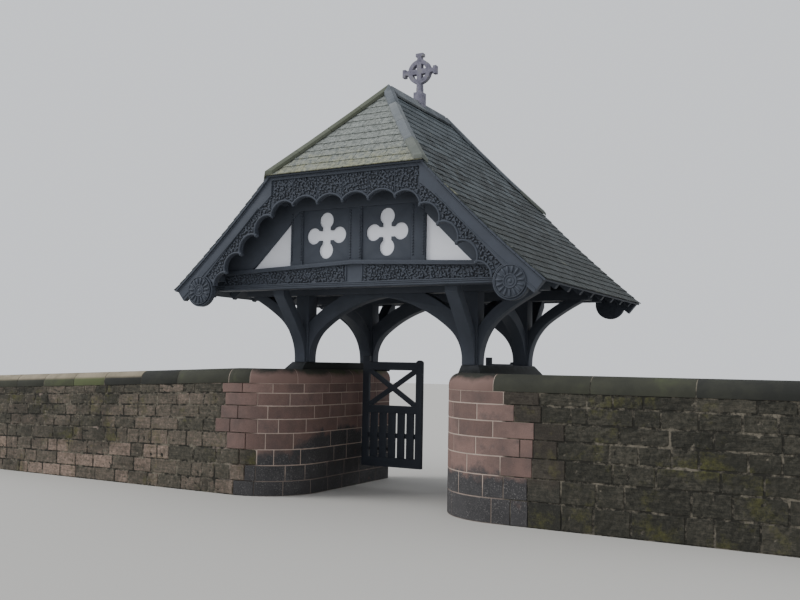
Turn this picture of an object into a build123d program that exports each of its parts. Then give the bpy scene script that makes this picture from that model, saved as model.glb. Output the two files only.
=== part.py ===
# Lychgate: a half-hipped slate roof on four oak posts, braced from sills on sandstone walls,
# with a pair of gates hung between the walls.
# Millimetres. +X along the road to the right, +Y into the churchyard, +Z up.
# The origin is on the ground, in the middle of the passage.
from build123d import *
from math import acos, atan2, cos, degrees, hypot, pi, radians, sin, tan
import os

# Walls
passage_half = 1000
wall_thick = 450
corner_radius = 820
road_face = 1640
wall_end = 6640
passage_wall_back = 1080
coping_height = 190
coping_round = 140
coping_top = 1637
left_coping_fall = 200
joint_gap = 0.5

# Sills and posts
sill_inner = 1140
sill_outer = 1460
sill_weathering = 93
sill_bottom = 1603
sill_height = 130
sill_half_length = 1080
sill_end_splay = 117
post_size = 200
post_x = 1240
post_y = 838

# Cross beams, plates and gable tie beams
beam_bottom = 2625
beam_height = 145
beam_half_length = 2195
beam_width = 190
wall_plate_width = 150
wall_plate_height = 150
eaves_plate_x = 2085
eaves_plate_width = 150
eaves_plate_height = 100
tie_face = 1632
tie_thick = 150
tie_bottom = 2651
tie_top = 2985
tie_camber = 0.042
tie_half_length = 2118
tie_cap_depth = 50
tie_cap_projection = 28
tie_base_depth = 70
tie_base_projection = 20

# Curved braces between the posts, and those outside them to the eaves and to the gables.
# Each is as deep as given along its radius. It stands out from its post at the spring, turns
# so many degrees on the lower radius, and flattens from there to the height of its crown.
brace_width = 160
brace_spring = 1790
outer_brace_spring = 1762
outer_brace_depth = 130
arch_depth = 200
arch_clear_half = 1125
arch_radius = 500
arch_turn = 50
arch_crown = 2582
arch_gap = 0.5
side_depth = 160
side_standing = 18
side_radius = 450
side_turn = 45
side_crown = 2420
eaves_standing = 15
eaves_radius = 720
eaves_turn = 54
eaves_crown = 2606
gable_standing = 40
gable_radius = 560
gable_turn = 35
gable_crown = 2586

# Roof surface: the slates' face, seen from the gable end, is one shallow hollow curve
eaves_half = 2600
eaves_height = 2657
curve_half = 1109
curve_height = 4061
ridge_height = 5346
ridge_half_length = 877
roof_lengths = 7
verge_y = 1975
hip_overhang = 38
slope_thick = 50
seat_gap = 0.3

# Rafters and purlins
rafter_depth = 95
rafter_width = 75
rafter_pitch = 445
rafter_pairs = 9
rafter_foot = 70
purlin_width = 100
purlin_depth = 140
purlin_along = 1890
ridge_beam_width = 50
ridge_beam_height = 220
jack_depth = 90
jack_pitch = 340
jack_count = 5

# Bargeboards
board_setback = 40
board_thick = 60
fascia_depth = 175
fascia_proud = 18
cusp_depth = 412
lowest_cusp_along = 760
raking_scallops = 3
scallop_rise = 112
joint_below_hip = 329
corner_scallop = 322
hip_scallops = 4
hip_cusp_drop = 402
hip_scallop_rise = 92
hip_fascia_depth = 85
roundel_along = 313
roundel_depth = 298
roundel_radius = 210
roundel_disc_radius = 165
roundel_proud = 25
tip_cut_along = 30
heel_depth = 225

# Gable panel
stud_width = 185
stud_thick = 100
stud_x = 872
stud_setback = 8
rail_drop = 421
rail_depth = 190
principal_depth = 490
principal_thick = 96
gable_board_thick = 22
gable_board_setback = 24
infill_thick = 20
quatrefoil_lobe_radius = 103
quatrefoil_lobe_offset = 187
quatrefoil_waist = 62

# Ridge and hip tiles
tile_thick = 30
tile_reach = 150

# Ridge cross
cross_base_width = 180
cross_base_length = 190
cross_base_height = 120
cross_thick = 75
cross_height = 720
cross_span = 600
cross_arm = 70
cross_flare = 150
cross_ring_outer = 172
cross_ring_inner = 112

# Gates
gate_y = 250
gate_thick = 55
gate_bottom = 278
gate_height = 1475
stile_width = 100
gate_top_rail = 114
gate_mid_rail_top = 1138
gate_mid_rail = 106
gate_ledge_height = 680
gate_ledge = 70
gate_bottom_rail = 129
stile_head = 30
hanging_head = 85
brace_bar = 70
brace_bar_thick = 40
pale_count = 5
pale_gap = 30
pale_thick = 25
hinge_x = 980
hinge_offset = 35
leaf_edge_gap = 12
meeting_gap = 12
hinge_pin_radius = 7
hinge_clearance = 0.3
hinge_eye_radius = 13
hinge_eye_height = 40
strap_thick = 7
strap_length = 420
hinge_heights = (520, 1640)
pintle_arm = 16

os.makedirs("parts", exist_ok=True)


def save(piece, name):
    """Label a finished piece and write it as its own STEP file."""
    piece.label = name
    export_step(piece, f"parts/{name}.step")


# Roof curve
def circle_through(a, b, c):
    """Centre and radius of the circle through three points."""
    d = 2 * (a[0] * (b[1] - c[1]) + b[0] * (c[1] - a[1]) + c[0] * (a[1] - b[1]))
    aa = a[0] ** 2 + a[1] ** 2
    bb = b[0] ** 2 + b[1] ** 2
    cc = c[0] ** 2 + c[1] ** 2
    x = (aa * (b[1] - c[1]) + bb * (c[1] - a[1]) + cc * (a[1] - b[1])) / d
    z = (aa * (c[0] - b[0]) + bb * (a[0] - c[0]) + cc * (b[0] - a[0])) / d
    return x, z, hypot(a[0] - x, a[1] - z)


curve_x, curve_z, curve_radius = circle_through(
    (eaves_half, eaves_height), (curve_half, curve_height), (0, ridge_height)
)
eaves_angle = atan2(eaves_height - curve_z, eaves_half - curve_x)
slope_length = (eaves_angle - acos(curve_x / curve_radius) + pi) * curve_radius
roof_length = slope_length / roof_lengths


def length_end(depth, n):
    """End of the nth straight length up the right slope, on a layer this far below the slates' face."""
    angle = eaves_angle - n * roof_length / curve_radius
    reach = curve_radius + depth
    return curve_x + reach * cos(angle), curve_z + reach * sin(angle)


def on_slope(depth, along):
    """Point of the right slope, depth below the slates' face and along up from the eaves tip.

    The hollow curve is framed in straight lengths, so close to it that the eye sees none.
    """
    n = min(max(int(along / roof_length), 0), roof_lengths - 1)
    low = length_end(depth, n)
    high = length_end(depth, n + 1)
    share = along / roof_length - n
    return low[0] + (high[0] - low[0]) * share, low[1] + (high[1] - low[1]) * share


def length_at(depth, x):
    """The straight length of a layer that crosses x, and how far up it does."""
    n = 0
    while n < roof_lengths - 1 and length_end(depth, n + 1)[0] > x:
        n += 1
    low = length_end(depth, n)
    high = length_end(depth, n + 1)
    return n, (low[0] - x) / (low[0] - high[0])


def apex_along(depth):
    """How far up the slope the layer at this depth reaches the ridge line."""
    n, share = length_at(depth, 0)
    return (n + share) * roof_length


def slope_height(depth, x):
    """Height of the layer at this depth, at the distance x from the ridge line."""
    n, share = length_at(depth, x)
    return on_slope(depth, (n + share) * roof_length)[1]


def layer_points(depth, start, end):
    """Points up a layer of the right slope, from one distance along it to another."""
    bends = [n * roof_length for n in range(1, roof_lengths) if start < n * roof_length < end]
    return [on_slope(depth, along) for along in (start, *bends, end)]


def slope_band(depth_top, depth_bottom, along_start):
    """Edges round a layer of the right slope, from a cut square to the slope up to the ridge."""
    top = layer_points(depth_top, along_start, apex_along(depth_top))
    bottom = layer_points(depth_bottom, along_start, apex_along(depth_bottom))
    with BuildLine() as outline:
        Polyline(*top, *reversed(bottom), close=True)
    return outline.edges()


def under_slopes(depth):
    """Edges round all that lies below both slopes by this depth, seen from the gable end."""
    right = layer_points(depth, 0, apex_along(depth))
    left = [(-x, z) for x, z in reversed(right[:-1])]
    with BuildLine() as outline:
        Polyline((right[0][0], 0), *right, *left, (-right[0][0], 0), close=True)
    return outline.edges()


# The half-hip's plane, seen from the side: it falls from the ridge end to the hip eaves
hip_eaves_y = verge_y + hip_overhang
hip_run = hip_eaves_y - ridge_half_length
hip_fall = ridge_height - curve_height
hip_angle = atan2(hip_fall, hip_run)


def hip_height(depth, y):
    """Height of the layer at this depth below the half-hip's face, at the distance y."""
    return ridge_height - (y - ridge_half_length) * tan(hip_angle) - depth / cos(hip_angle)


def under_hips(depth):
    """Edges round all that lies below both half-hips by this depth, seen from the side."""
    edge = hip_height(depth, hip_eaves_y)
    top = hip_height(depth, 0)
    with BuildLine() as outline:
        Polyline(
            (hip_eaves_y, 0),
            (hip_eaves_y, edge),
            (0, top),
            (-hip_eaves_y, edge),
            (-hip_eaves_y, 0),
            close=True,
        )
    return outline.edges()


# Walls: boundary wall, quadrant and passage wall are one mass of masonry on each side
corner_x = passage_half + corner_radius
corner_y = corner_radius - road_face
back_radius = corner_radius - wall_thick
wall_top = coping_top - coping_height


def wall_solid(fall):
    """The right-hand wall up to its coping, whose boundary stretch falls away by this much."""
    with BuildPart() as wall:
        with BuildSketch():
            with BuildLine():
                Line((passage_half, passage_wall_back), (passage_half, corner_y))
                CenterArc((corner_x, corner_y), corner_radius, 180, 90)
                Line((corner_x, -road_face), (wall_end, -road_face))
                Line((wall_end, -road_face), (wall_end, wall_thick - road_face))
                Line((wall_end, wall_thick - road_face), (corner_x, wall_thick - road_face))
                CenterArc((corner_x, corner_y), back_radius, 270, -90)
                Line((corner_x - back_radius, corner_y), (corner_x - back_radius, passage_wall_back))
                Line((corner_x - back_radius, passage_wall_back), (passage_half, passage_wall_back))
            make_face()
        extrude(amount=wall_top)
        if fall > 0:
            with BuildSketch(Plane.XZ.offset(road_face - wall_thick)):
                with BuildLine():
                    Polyline(
                        (corner_x, wall_top),
                        (wall_end, wall_top),
                        (wall_end, wall_top - fall),
                        close=True,
                    )
                make_face()
            extrude(amount=wall_thick, mode=Mode.SUBTRACT)
    return wall.part


def coping_face(plane):
    """Cross-section of the coping, flat below and rounded above."""
    with BuildSketch(plane) as face:
        with Locations((0, coping_height / 2)):
            Rectangle(wall_thick, coping_height)
        fillet(face.vertices().group_by(Axis.Y)[-1], coping_round)
    return face.sketch


def coping_solids(fall):
    """The right-hand coping: one run over passage wall and quadrant, one over the boundary wall."""
    mid_x = passage_half + wall_thick / 2
    run_start = corner_x + joint_gap
    run_slope = Vector(wall_end - run_start, 0, -fall)
    with BuildPart() as coping:
        end_face = coping_face(Plane((mid_x, passage_wall_back, wall_top), (1, 0, 0), (0, -1, 0)))
        extrude(end_face, amount=passage_wall_back - corner_y)
        corner_face = coping_face(Plane((mid_x, corner_y, wall_top), (1, 0, 0), (0, -1, 0)))
        revolve(corner_face, axis=Axis((corner_x, corner_y, 0), (0, 0, 1)), revolution_arc=90)
        run_face = coping_face(
            Plane((run_start, wall_thick / 2 - road_face, wall_top), (0, 1, 0), (1, 0, 0))
        )
        extrude(run_face, amount=run_slope.length, dir=run_slope.normalized())
        with BuildSketch(Plane.XY.offset(sill_bottom)):
            with Locations(((sill_inner + sill_outer) / 2, 0)):
                Rectangle(sill_outer - sill_inner, 2 * sill_half_length)
        extrude(amount=sill_height, mode=Mode.SUBTRACT)
    return coping.part


save(wall_solid(0), "right_wall")
save(mirror(wall_solid(left_coping_fall), Plane.YZ), "left_wall")
save(coping_solids(0), "right_coping")
save(mirror(coping_solids(left_coping_fall), Plane.YZ), "left_coping")

# Sills: long timbers let into the copings, weathered on the outside and splayed at the ends
with BuildPart() as right_sill:
    with BuildSketch(Plane.XZ):
        with BuildLine():
            Polyline(
                (sill_inner, sill_bottom),
                (sill_outer, sill_bottom),
                (sill_outer - sill_weathering, sill_bottom + sill_height),
                (sill_inner, sill_bottom + sill_height),
                close=True,
            )
        make_face()
    extrude(amount=sill_half_length, both=True)
    with BuildSketch(Plane.YZ):
        with BuildLine():
            Polyline(
                (-sill_half_length, sill_bottom),
                (sill_half_length, sill_bottom),
                (sill_half_length - sill_end_splay, sill_bottom + sill_height),
                (sill_end_splay - sill_half_length, sill_bottom + sill_height),
                close=True,
            )
        make_face()
    extrude(amount=sill_outer, mode=Mode.INTERSECT)
save(right_sill.part, "right_sill")
save(mirror(right_sill.part, Plane.YZ), "left_sill")

# Posts
post_bottom = sill_bottom + sill_height
for row, y in (("front", -post_y), ("rear", post_y)):
    for side, x in (("left", -post_x), ("right", post_x)):
        with BuildPart() as post:
            with BuildSketch(Plane.XY.offset(post_bottom)):
                with Locations((x, y)):
                    Rectangle(post_size, post_size)
            extrude(amount=beam_bottom - post_bottom)
        save(post.part, f"{row}_{side}_post")


# Curved braces
def crown_radius_for(spring_u, spring_z, radius, turn, end_u, end_z):
    """Radius of the arc that runs on tangent from the lower one and passes the crown's end."""
    angle = radians(turn)
    run_u = end_u - spring_u - radius
    run_z = end_z - spring_z
    slack = radius + run_u * cos(angle) - run_z * sin(angle)
    return radius + (run_u**2 + run_z**2 - radius**2) / (2 * slack)


def arch_points(spring_u, spring_z, radius, turn, crown_radius, depth, end_u):
    """Two tangent arcs of an arch: the start, the change of radius and the crown, with midpoints."""
    angle = radians(turn)
    first = (spring_u + radius, spring_z)
    second_u = first[0] + (crown_radius - radius) * cos(angle)
    second_z = first[1] - (crown_radius - radius) * sin(angle)

    def lower(a):
        reach = radius + depth
        return first[0] - reach * cos(a), first[1] + reach * sin(a)

    def upper(a):
        reach = crown_radius + depth
        return second_u - reach * cos(a), second_z + reach * sin(a)

    end = acos((second_u - end_u) / (crown_radius + depth))
    return (lower(0), lower(angle / 2), lower(angle)), (upper(angle), upper((angle + end) / 2), upper(end))


def brace_sketch(plane, depth, spring_u, spring_z, radius, turn, end_u, end_z, top_z):
    """Face of one brace: u runs from the post's face, z is height."""
    crown_radius = crown_radius_for(spring_u, spring_z, radius, turn, end_u, end_z)
    inner_low, inner_high = arch_points(spring_u, spring_z, radius, turn, crown_radius, 0, end_u)
    outer_low, outer_high = arch_points(spring_u, spring_z, radius, turn, crown_radius, depth, end_u)
    past = 2 * depth
    with BuildSketch(plane) as face:
        with BuildLine():
            Line((0, post_bottom), (spring_u, post_bottom))
            Line((spring_u, post_bottom), inner_low[0])
            ThreePointArc(*inner_low)
            ThreePointArc(*inner_high)
            Line(inner_high[2], (end_u, top_z))
            Line((end_u, top_z), (0, top_z))
            Line((0, top_z), (0, post_bottom))
        make_face()
        with BuildLine():
            Line((-past, outer_low[0][1]), outer_low[0])
            ThreePointArc(*outer_low)
            ThreePointArc(*outer_high)
            Line(outer_high[2], (end_u, top_z + past))
            Line((end_u, top_z + past), (-past, top_z + past))
            Line((-past, top_z + past), (-past, outer_low[0][1]))
        make_face(mode=Mode.SUBTRACT)
    return face.sketch


post_face_x = post_x - post_size / 2
post_outer_x = post_x + post_size / 2
post_face_y = post_y - post_size / 2
post_outer_y = post_y + post_size / 2
plate_bottom = beam_bottom + beam_height
arch_lower = (post_face_x - arch_clear_half, brace_spring, arch_radius, arch_turn)
side_lower = (side_standing, brace_spring, side_radius, side_turn)
eaves_lower = (eaves_standing, outer_brace_spring, eaves_radius, eaves_turn)
gable_lower = (gable_standing, outer_brace_spring, gable_radius, gable_turn)
eaves_reach = eaves_plate_x - post_outer_x
gable_reach = tie_face - tie_thick - post_outer_y
arch_brace = (arch_depth, *arch_lower, post_face_x - arch_gap, arch_crown, beam_bottom)
side_brace = (side_depth, *side_lower, post_face_y - arch_gap, side_crown, plate_bottom)
eaves_brace = (outer_brace_depth, *eaves_lower, eaves_reach, eaves_crown, beam_bottom)
gable_brace = (outer_brace_depth, *gable_lower, gable_reach, gable_crown, plate_bottom)


def braces(name, placings):
    """A node of like braces: each placing is a plane at a post's face and the brace's shape."""
    with BuildPart() as node:
        for plane, shape in placings:
            face = brace_sketch(plane, *shape)
            extrude(face, amount=brace_width / 2, both=True)
    save(node.part, name)


def across(sign, x, y):
    """A plane whose u runs along X from x, outwards for sign 1 and inwards for sign -1."""
    return Plane((x, y, 0), (sign, 0, 0), (0, -sign, 0))


def along_y(sign, x, y):
    """A plane whose u runs along Y from y."""
    return Plane((x, y, 0), (0, sign, 0), (sign, 0, 0))


for row, y in (("front", -post_y), ("rear", post_y)):
    braces(
        f"{row}_arch_braces",
        [(across(1, -post_face_x, y), arch_brace), (across(-1, post_face_x, y), arch_brace)],
    )
for side, x in (("left", -post_x), ("right", post_x)):
    braces(
        f"{side}_arch_braces",
        [(along_y(1, x, -post_face_y), side_brace), (along_y(-1, x, post_face_y), side_brace)],
    )
braces(
    "eaves_braces",
    [(across(s, s * post_outer_x, y), eaves_brace) for s in (-1, 1) for y in (-post_y, post_y)],
)
braces(
    "gable_braces",
    [(along_y(s, x, s * post_outer_y), gable_brace) for s in (-1, 1) for x in (-post_x, post_x)],
)

# Cross beams over the posts
for row, y in (("front", -post_y), ("rear", post_y)):
    with BuildPart() as beam:
        with BuildSketch(Plane.XY.offset(beam_bottom)):
            with Locations((0, y)):
                Rectangle(2 * beam_half_length, beam_width)
        extrude(amount=beam_height)
    save(beam.part, f"{row}_cross_beam")

# Wall plates over the posts, between the gable tie beams
tie_back = tie_face - tie_thick
with BuildPart() as wall_plates:
    with BuildSketch(Plane.XY.offset(plate_bottom)):
        with Locations((-post_x, 0), (post_x, 0)):
            Rectangle(wall_plate_width, 2 * tie_back)
    extrude(amount=wall_plate_height)
save(wall_plates.part, "wall_plates")

# Eaves plates on the ends of the cross beams, out to the bargeboards
board_face = verge_y - board_setback
board_back = board_face - board_thick
with BuildPart() as eaves_plates:
    with BuildSketch(Plane.XY.offset(plate_bottom)):
        with Locations((-eaves_plate_x, 0), (eaves_plate_x, 0)):
            Rectangle(eaves_plate_width, 2 * board_back)
    extrude(amount=eaves_plate_height)
save(eaves_plates.part, "eaves_plates")


# Gable tie beams: cambered on top, with a capping above and a moulding below the carved face
def camber_line(extra):
    """Points of the tie beam's cambered top line, extra above it."""
    end = tie_top - tie_half_length * tie_camber
    return (-tie_half_length, end + extra), (0, tie_top + extra), (tie_half_length, end + extra)


def tie_beam(sign):
    """A gable tie beam, sign -1 in front and 1 at the rear."""
    left, middle, right = camber_line(0)
    cap_left, cap_middle, cap_right = camber_line(-tie_cap_depth)
    notch = (eaves_plate_x, plate_bottom + eaves_plate_height / 2)
    face = Plane((0, sign * tie_back, 0), (1, 0, 0), (0, -1, 0))
    with BuildPart() as beam:
        with BuildSketch(face):
            with BuildLine():
                Polyline(
                    (-tie_half_length, tie_bottom),
                    (tie_half_length, tie_bottom),
                    right,
                    middle,
                    left,
                    close=True,
                )
            make_face()
        extrude(amount=-sign * tie_thick)
        with BuildSketch(face):
            with BuildLine():
                Polyline(cap_left, cap_middle, cap_right, right, middle, left, close=True)
            make_face()
        extrude(amount=-sign * (tie_thick + tie_cap_projection))
        with BuildSketch(face):
            with Locations((0, tie_bottom + tie_base_depth / 2)):
                Rectangle(2 * tie_half_length, tie_base_depth)
        extrude(amount=-sign * (tie_thick + tie_base_projection))
        with BuildSketch(Plane((0, sign * tie_back, 0), (1, 0, 0), (0, -1, 0))):
            with Locations(notch, (-notch[0], notch[1])):
                Rectangle(eaves_plate_width, eaves_plate_height)
        extrude(amount=-sign * (tie_thick + tie_cap_projection), mode=Mode.SUBTRACT)
    return beam.part


# Gable frame: the two principals under the verge and the rail between them
rafter_top = slope_thick + seat_gap
rafter_bottom = rafter_top + rafter_depth
jack_bottom = rafter_top + jack_depth
purlin_top = rafter_bottom + seat_gap
principal_front = tie_face - stud_setback


def gable_plane(sign, y):
    """Upright plane across the roof at the distance y, sign -1 in front and 1 at the rear."""
    return Plane((0, sign * y, 0), (1, 0, 0), (0, -1, 0))


def purlin_face():
    """Ends of both purlins, which lie square to the slope."""
    x, z = on_slope(purlin_top + purlin_depth / 2, purlin_along)
    top_x, top_z = on_slope(purlin_top, purlin_along)
    tilt = degrees(atan2(top_z - z, top_x - x)) - 90
    with BuildSketch(Plane.XZ) as face:
        with Locations((x, z)):
            Rectangle(purlin_width, purlin_depth, rotation=tilt)
        mirror(about=Plane.YZ)
    return face.sketch


def plate_face():
    """Ends of both eaves plates."""
    height = plate_bottom + eaves_plate_height / 2
    with BuildSketch(Plane.XZ) as face:
        with Locations((-eaves_plate_x, height), (eaves_plate_x, height)):
            Rectangle(eaves_plate_width, eaves_plate_height)
    return face.sketch


def tie_beam_face():
    """All that lies below the tie beam's cambered top."""
    left, middle, right = camber_line(0)
    with BuildSketch() as face:
        with BuildLine():
            Polyline(
                left,
                middle,
                right,
                (eaves_half, right[1]),
                (eaves_half, 0),
                (-eaves_half, 0),
                (-eaves_half, left[1]),
                close=True,
            )
        make_face()
    return face.sketch


def principal_faces():
    """Faces of both principals, from the slates' underside to their lower edge."""
    with BuildSketch() as faces:
        make_face(slope_band(rafter_top, principal_depth, 0))
        mirror(about=Plane.YZ)
    return faces.sketch


def stud_faces():
    """Faces of the three studs, up to the rail."""
    with BuildSketch() as faces:
        with Locations((-stud_x, rail_bottom), (0, rail_bottom), (stud_x, rail_bottom)):
            Rectangle(stud_width, rail_bottom - tie_bottom, align=(Align.CENTER, Align.MAX))
    return faces.sketch


def quatrefoil(x):
    """Four round lobes and the square waist between them."""
    with BuildSketch() as flower:
        with Locations((x, quatrefoil_height)):
            with PolarLocations(quatrefoil_lobe_offset, 4):
                Circle(quatrefoil_lobe_radius)
            Rectangle(2 * quatrefoil_lobe_offset, 2 * quatrefoil_waist)
            Rectangle(2 * quatrefoil_waist, 2 * quatrefoil_lobe_offset)
    return flower.sketch


rail_bottom = curve_height - rail_drop
quatrefoil_height = (tie_top + rail_bottom) / 2
panel_centre = stud_x / 2
panel_width = stud_x - stud_width
spandrel_bottom = rail_bottom + rail_depth

for row, sign in (("front", -1), ("rear", 1)):
    with BuildPart() as gable_frame:
        with BuildSketch(gable_plane(sign, principal_front)):
            add(principal_faces())
            with Locations((0, rail_bottom)):
                Rectangle(2 * curve_half, rail_depth, align=(Align.CENTER, Align.MIN))
            add(tie_beam_face(), mode=Mode.SUBTRACT)
        extrude(amount=sign * principal_thick)
        with BuildSketch(Plane.YZ):
            make_face(under_hips(jack_bottom + seat_gap))
        extrude(amount=eaves_half, both=True, mode=Mode.INTERSECT)
        extrude(purlin_face(), amount=tie_face, both=True, mode=Mode.SUBTRACT)
        extrude(plate_face(), amount=tie_face, both=True, mode=Mode.SUBTRACT)
    save(gable_frame.part, f"{row}_gable_frame")

    with BuildPart() as gable_studs:
        with BuildSketch(gable_plane(sign, principal_front)):
            add(stud_faces())
            add(tie_beam_face(), mode=Mode.SUBTRACT)
            add(principal_faces(), mode=Mode.SUBTRACT)
        extrude(amount=sign * stud_thick)
    save(gable_studs.part, f"{row}_gable_studs")

    with BuildPart() as gable_boards:
        with BuildSketch(gable_plane(sign, tie_face - gable_board_setback)):
            with Locations((-panel_centre, rail_bottom), (panel_centre, rail_bottom)):
                Rectangle(panel_width, rail_bottom - tie_bottom, align=(Align.CENTER, Align.MAX))
            with Locations((0, spandrel_bottom)):
                Rectangle(2 * curve_half, ridge_height, align=(Align.CENTER, Align.MIN))
            add(tie_beam_face(), mode=Mode.SUBTRACT)
            add(principal_faces(), mode=Mode.SUBTRACT)
            add(quatrefoil(-panel_centre), mode=Mode.SUBTRACT)
            add(quatrefoil(panel_centre), mode=Mode.SUBTRACT)
        extrude(amount=sign * gable_board_thick)
        with BuildSketch(Plane.YZ):
            make_face(under_hips(jack_bottom + seat_gap))
        extrude(amount=eaves_half, both=True, mode=Mode.INTERSECT)
        with BuildSketch(Plane.XZ):
            make_face(under_slopes(principal_depth))
        extrude(amount=tie_face, both=True, mode=Mode.INTERSECT)
    save(gable_boards.part, f"{row}_gable_boards")

    with BuildPart() as gable_infill:
        with BuildSketch(gable_plane(sign, tie_face - gable_board_setback - gable_board_thick)):
            with Locations((0, rail_bottom)):
                Rectangle(2 * tie_half_length, rail_bottom - tie_bottom, align=(Align.CENTER, Align.MAX))
            add(stud_faces(), mode=Mode.SUBTRACT)
            add(tie_beam_face(), mode=Mode.SUBTRACT)
        extrude(amount=sign * infill_thick)
        with BuildSketch(Plane.XZ):
            make_face(under_slopes(principal_depth))
        extrude(amount=tie_face, both=True, mode=Mode.INTERSECT)
    save(gable_infill.part, f"{row}_gable_infill")

    save(tie_beam(sign), f"{row}_tie_beam")

# Purlins, from bargeboard to bargeboard
with BuildPart() as purlins:
    extrude(purlin_face(), amount=board_back, both=True)
save(purlins.part, "purlins")

# Ridge beam
ridge_beam_top = slope_height(rafter_top, ridge_beam_width / 2)
with BuildPart() as ridge_beam:
    with BuildSketch(Plane.XZ):
        with Locations((0, ridge_beam_top)):
            Rectangle(ridge_beam_width, ridge_beam_height, align=(Align.CENTER, Align.MAX))
    extrude(amount=ridge_half_length, both=True)
    with BuildSketch(Plane.YZ):
        make_face(under_hips(jack_bottom + seat_gap))
    extrude(amount=ridge_beam_width, both=True, mode=Mode.INTERSECT)
save(ridge_beam.part, "ridge_beam")

# Common rafters, birdsmouthed over the eaves plates and meeting at the ridge beam
rafter_reach = rafter_pitch * (rafter_pairs - 1) / 2
with BuildPart() as common_rafters:
    with BuildSketch(Plane.XZ):
        make_face(slope_band(rafter_top, rafter_bottom, rafter_foot))
        mirror(about=Plane.YZ)
        with Locations((0, ridge_height)):
            Rectangle(
                ridge_beam_width,
                ridge_height - ridge_beam_top + ridge_beam_height,
                align=(Align.CENTER, Align.MAX),
                mode=Mode.SUBTRACT,
            )
    extrude(amount=rafter_reach + rafter_width / 2, both=True)
    with BuildSketch(Plane.YZ):
        with GridLocations(rafter_pitch, 0, rafter_pairs, 1):
            Rectangle(rafter_width, 2 * ridge_height)
    extrude(amount=eaves_half, both=True, mode=Mode.INTERSECT)
    with BuildSketch(Plane.YZ):
        make_face(under_hips(jack_bottom + seat_gap))
    extrude(amount=eaves_half, both=True, mode=Mode.INTERSECT)
    extrude(plate_face(), amount=board_back, both=True, mode=Mode.SUBTRACT)
save(common_rafters.part, "common_rafters")


# Half-hips
def hip_band(sign, depth_top, depth_bottom, reach):
    """Side view of a layer of one half-hip, from above the ridge end out to its eaves."""
    with BuildSketch(Plane.YZ) as band:
        with BuildLine():
            Polyline(
                (sign * ridge_half_length, hip_height(depth_top, ridge_half_length)),
                (sign * reach, hip_height(depth_top, reach)),
                (sign * reach, hip_height(depth_bottom, reach)),
                (sign * ridge_half_length, hip_height(depth_bottom, ridge_half_length)),
                close=True,
            )
        make_face()
    return band.sketch


# Hip rafters: short jack rafters under each half-hip
with BuildPart() as hip_rafters:
    for sign in (-1, 1):
        extrude(hip_band(sign, rafter_top, jack_bottom, board_back), amount=curve_half, both=True)
    with BuildSketch(Plane.XZ):
        with GridLocations(jack_pitch, 0, jack_count, 1):
            Rectangle(rafter_width, 2 * ridge_height)
    extrude(amount=hip_eaves_y, both=True, mode=Mode.INTERSECT)
    with BuildSketch(Plane.XZ):
        make_face(under_slopes(rafter_bottom + seat_gap))
    extrude(amount=hip_eaves_y, both=True, mode=Mode.INTERSECT)
    extrude(purlin_face(), amount=hip_eaves_y, both=True, mode=Mode.SUBTRACT)
save(hip_rafters.part, "hip_rafters")

# Roof slopes: slates on boarding, from verge to verge, cut back along the half-hips
with BuildPart() as right_roof_slope:
    with BuildSketch(Plane.XZ):
        make_face(slope_band(0, slope_thick, 0))
    extrude(amount=verge_y, both=True)
    with BuildSketch(Plane.YZ):
        make_face(under_hips(0))
    extrude(amount=eaves_half, both=True, mode=Mode.INTERSECT)
save(right_roof_slope.part, "right_roof_slope")
save(mirror(right_roof_slope.part, Plane.YZ), "left_roof_slope")

for row, sign in (("front", -1), ("rear", 1)):
    with BuildPart() as half_hip:
        extrude(hip_band(sign, 0, slope_thick, hip_eaves_y), amount=curve_half, both=True)
        with BuildSketch(Plane.XZ):
            make_face(under_slopes(slope_thick + seat_gap))
        extrude(amount=hip_eaves_y, both=True, mode=Mode.INTERSECT)
    save(half_hip.part, f"{row}_half_hip")

# Ridge tiles
ridge_tile_half = ridge_half_length - tile_reach / 2
with BuildPart() as ridge_tiles:
    with BuildSketch(Plane.XZ):
        make_face(slope_band(-tile_thick, -seat_gap, apex_along(0) - tile_reach))
        mirror(about=Plane.YZ)
    extrude(amount=ridge_tile_half, both=True)
save(ridge_tiles.part, "ridge_tiles")

# Hip tiles: a shell over both roof planes, kept only along the four hips
hip_x = curve_half
hip_mid_z = slope_height(0, hip_x / 2)
hip_mid_y = ridge_half_length + (ridge_height - hip_mid_z) / tan(hip_angle)
hip_end_y = hip_eaves_y
hip_length = hypot(hip_x, hip_end_y - ridge_half_length)
strip_x = tile_reach * (hip_end_y - ridge_half_length) / hip_length / 2
strip_y = tile_reach * hip_x / hip_length / 2

with BuildPart() as roof_core:
    with BuildSketch(Plane.XZ):
        make_face(under_slopes(-seat_gap))
    extrude(amount=2 * hip_eaves_y, both=True)
    with BuildSketch(Plane.YZ):
        make_face(under_hips(-seat_gap))
    extrude(amount=2 * eaves_half, both=True, mode=Mode.INTERSECT)

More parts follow.
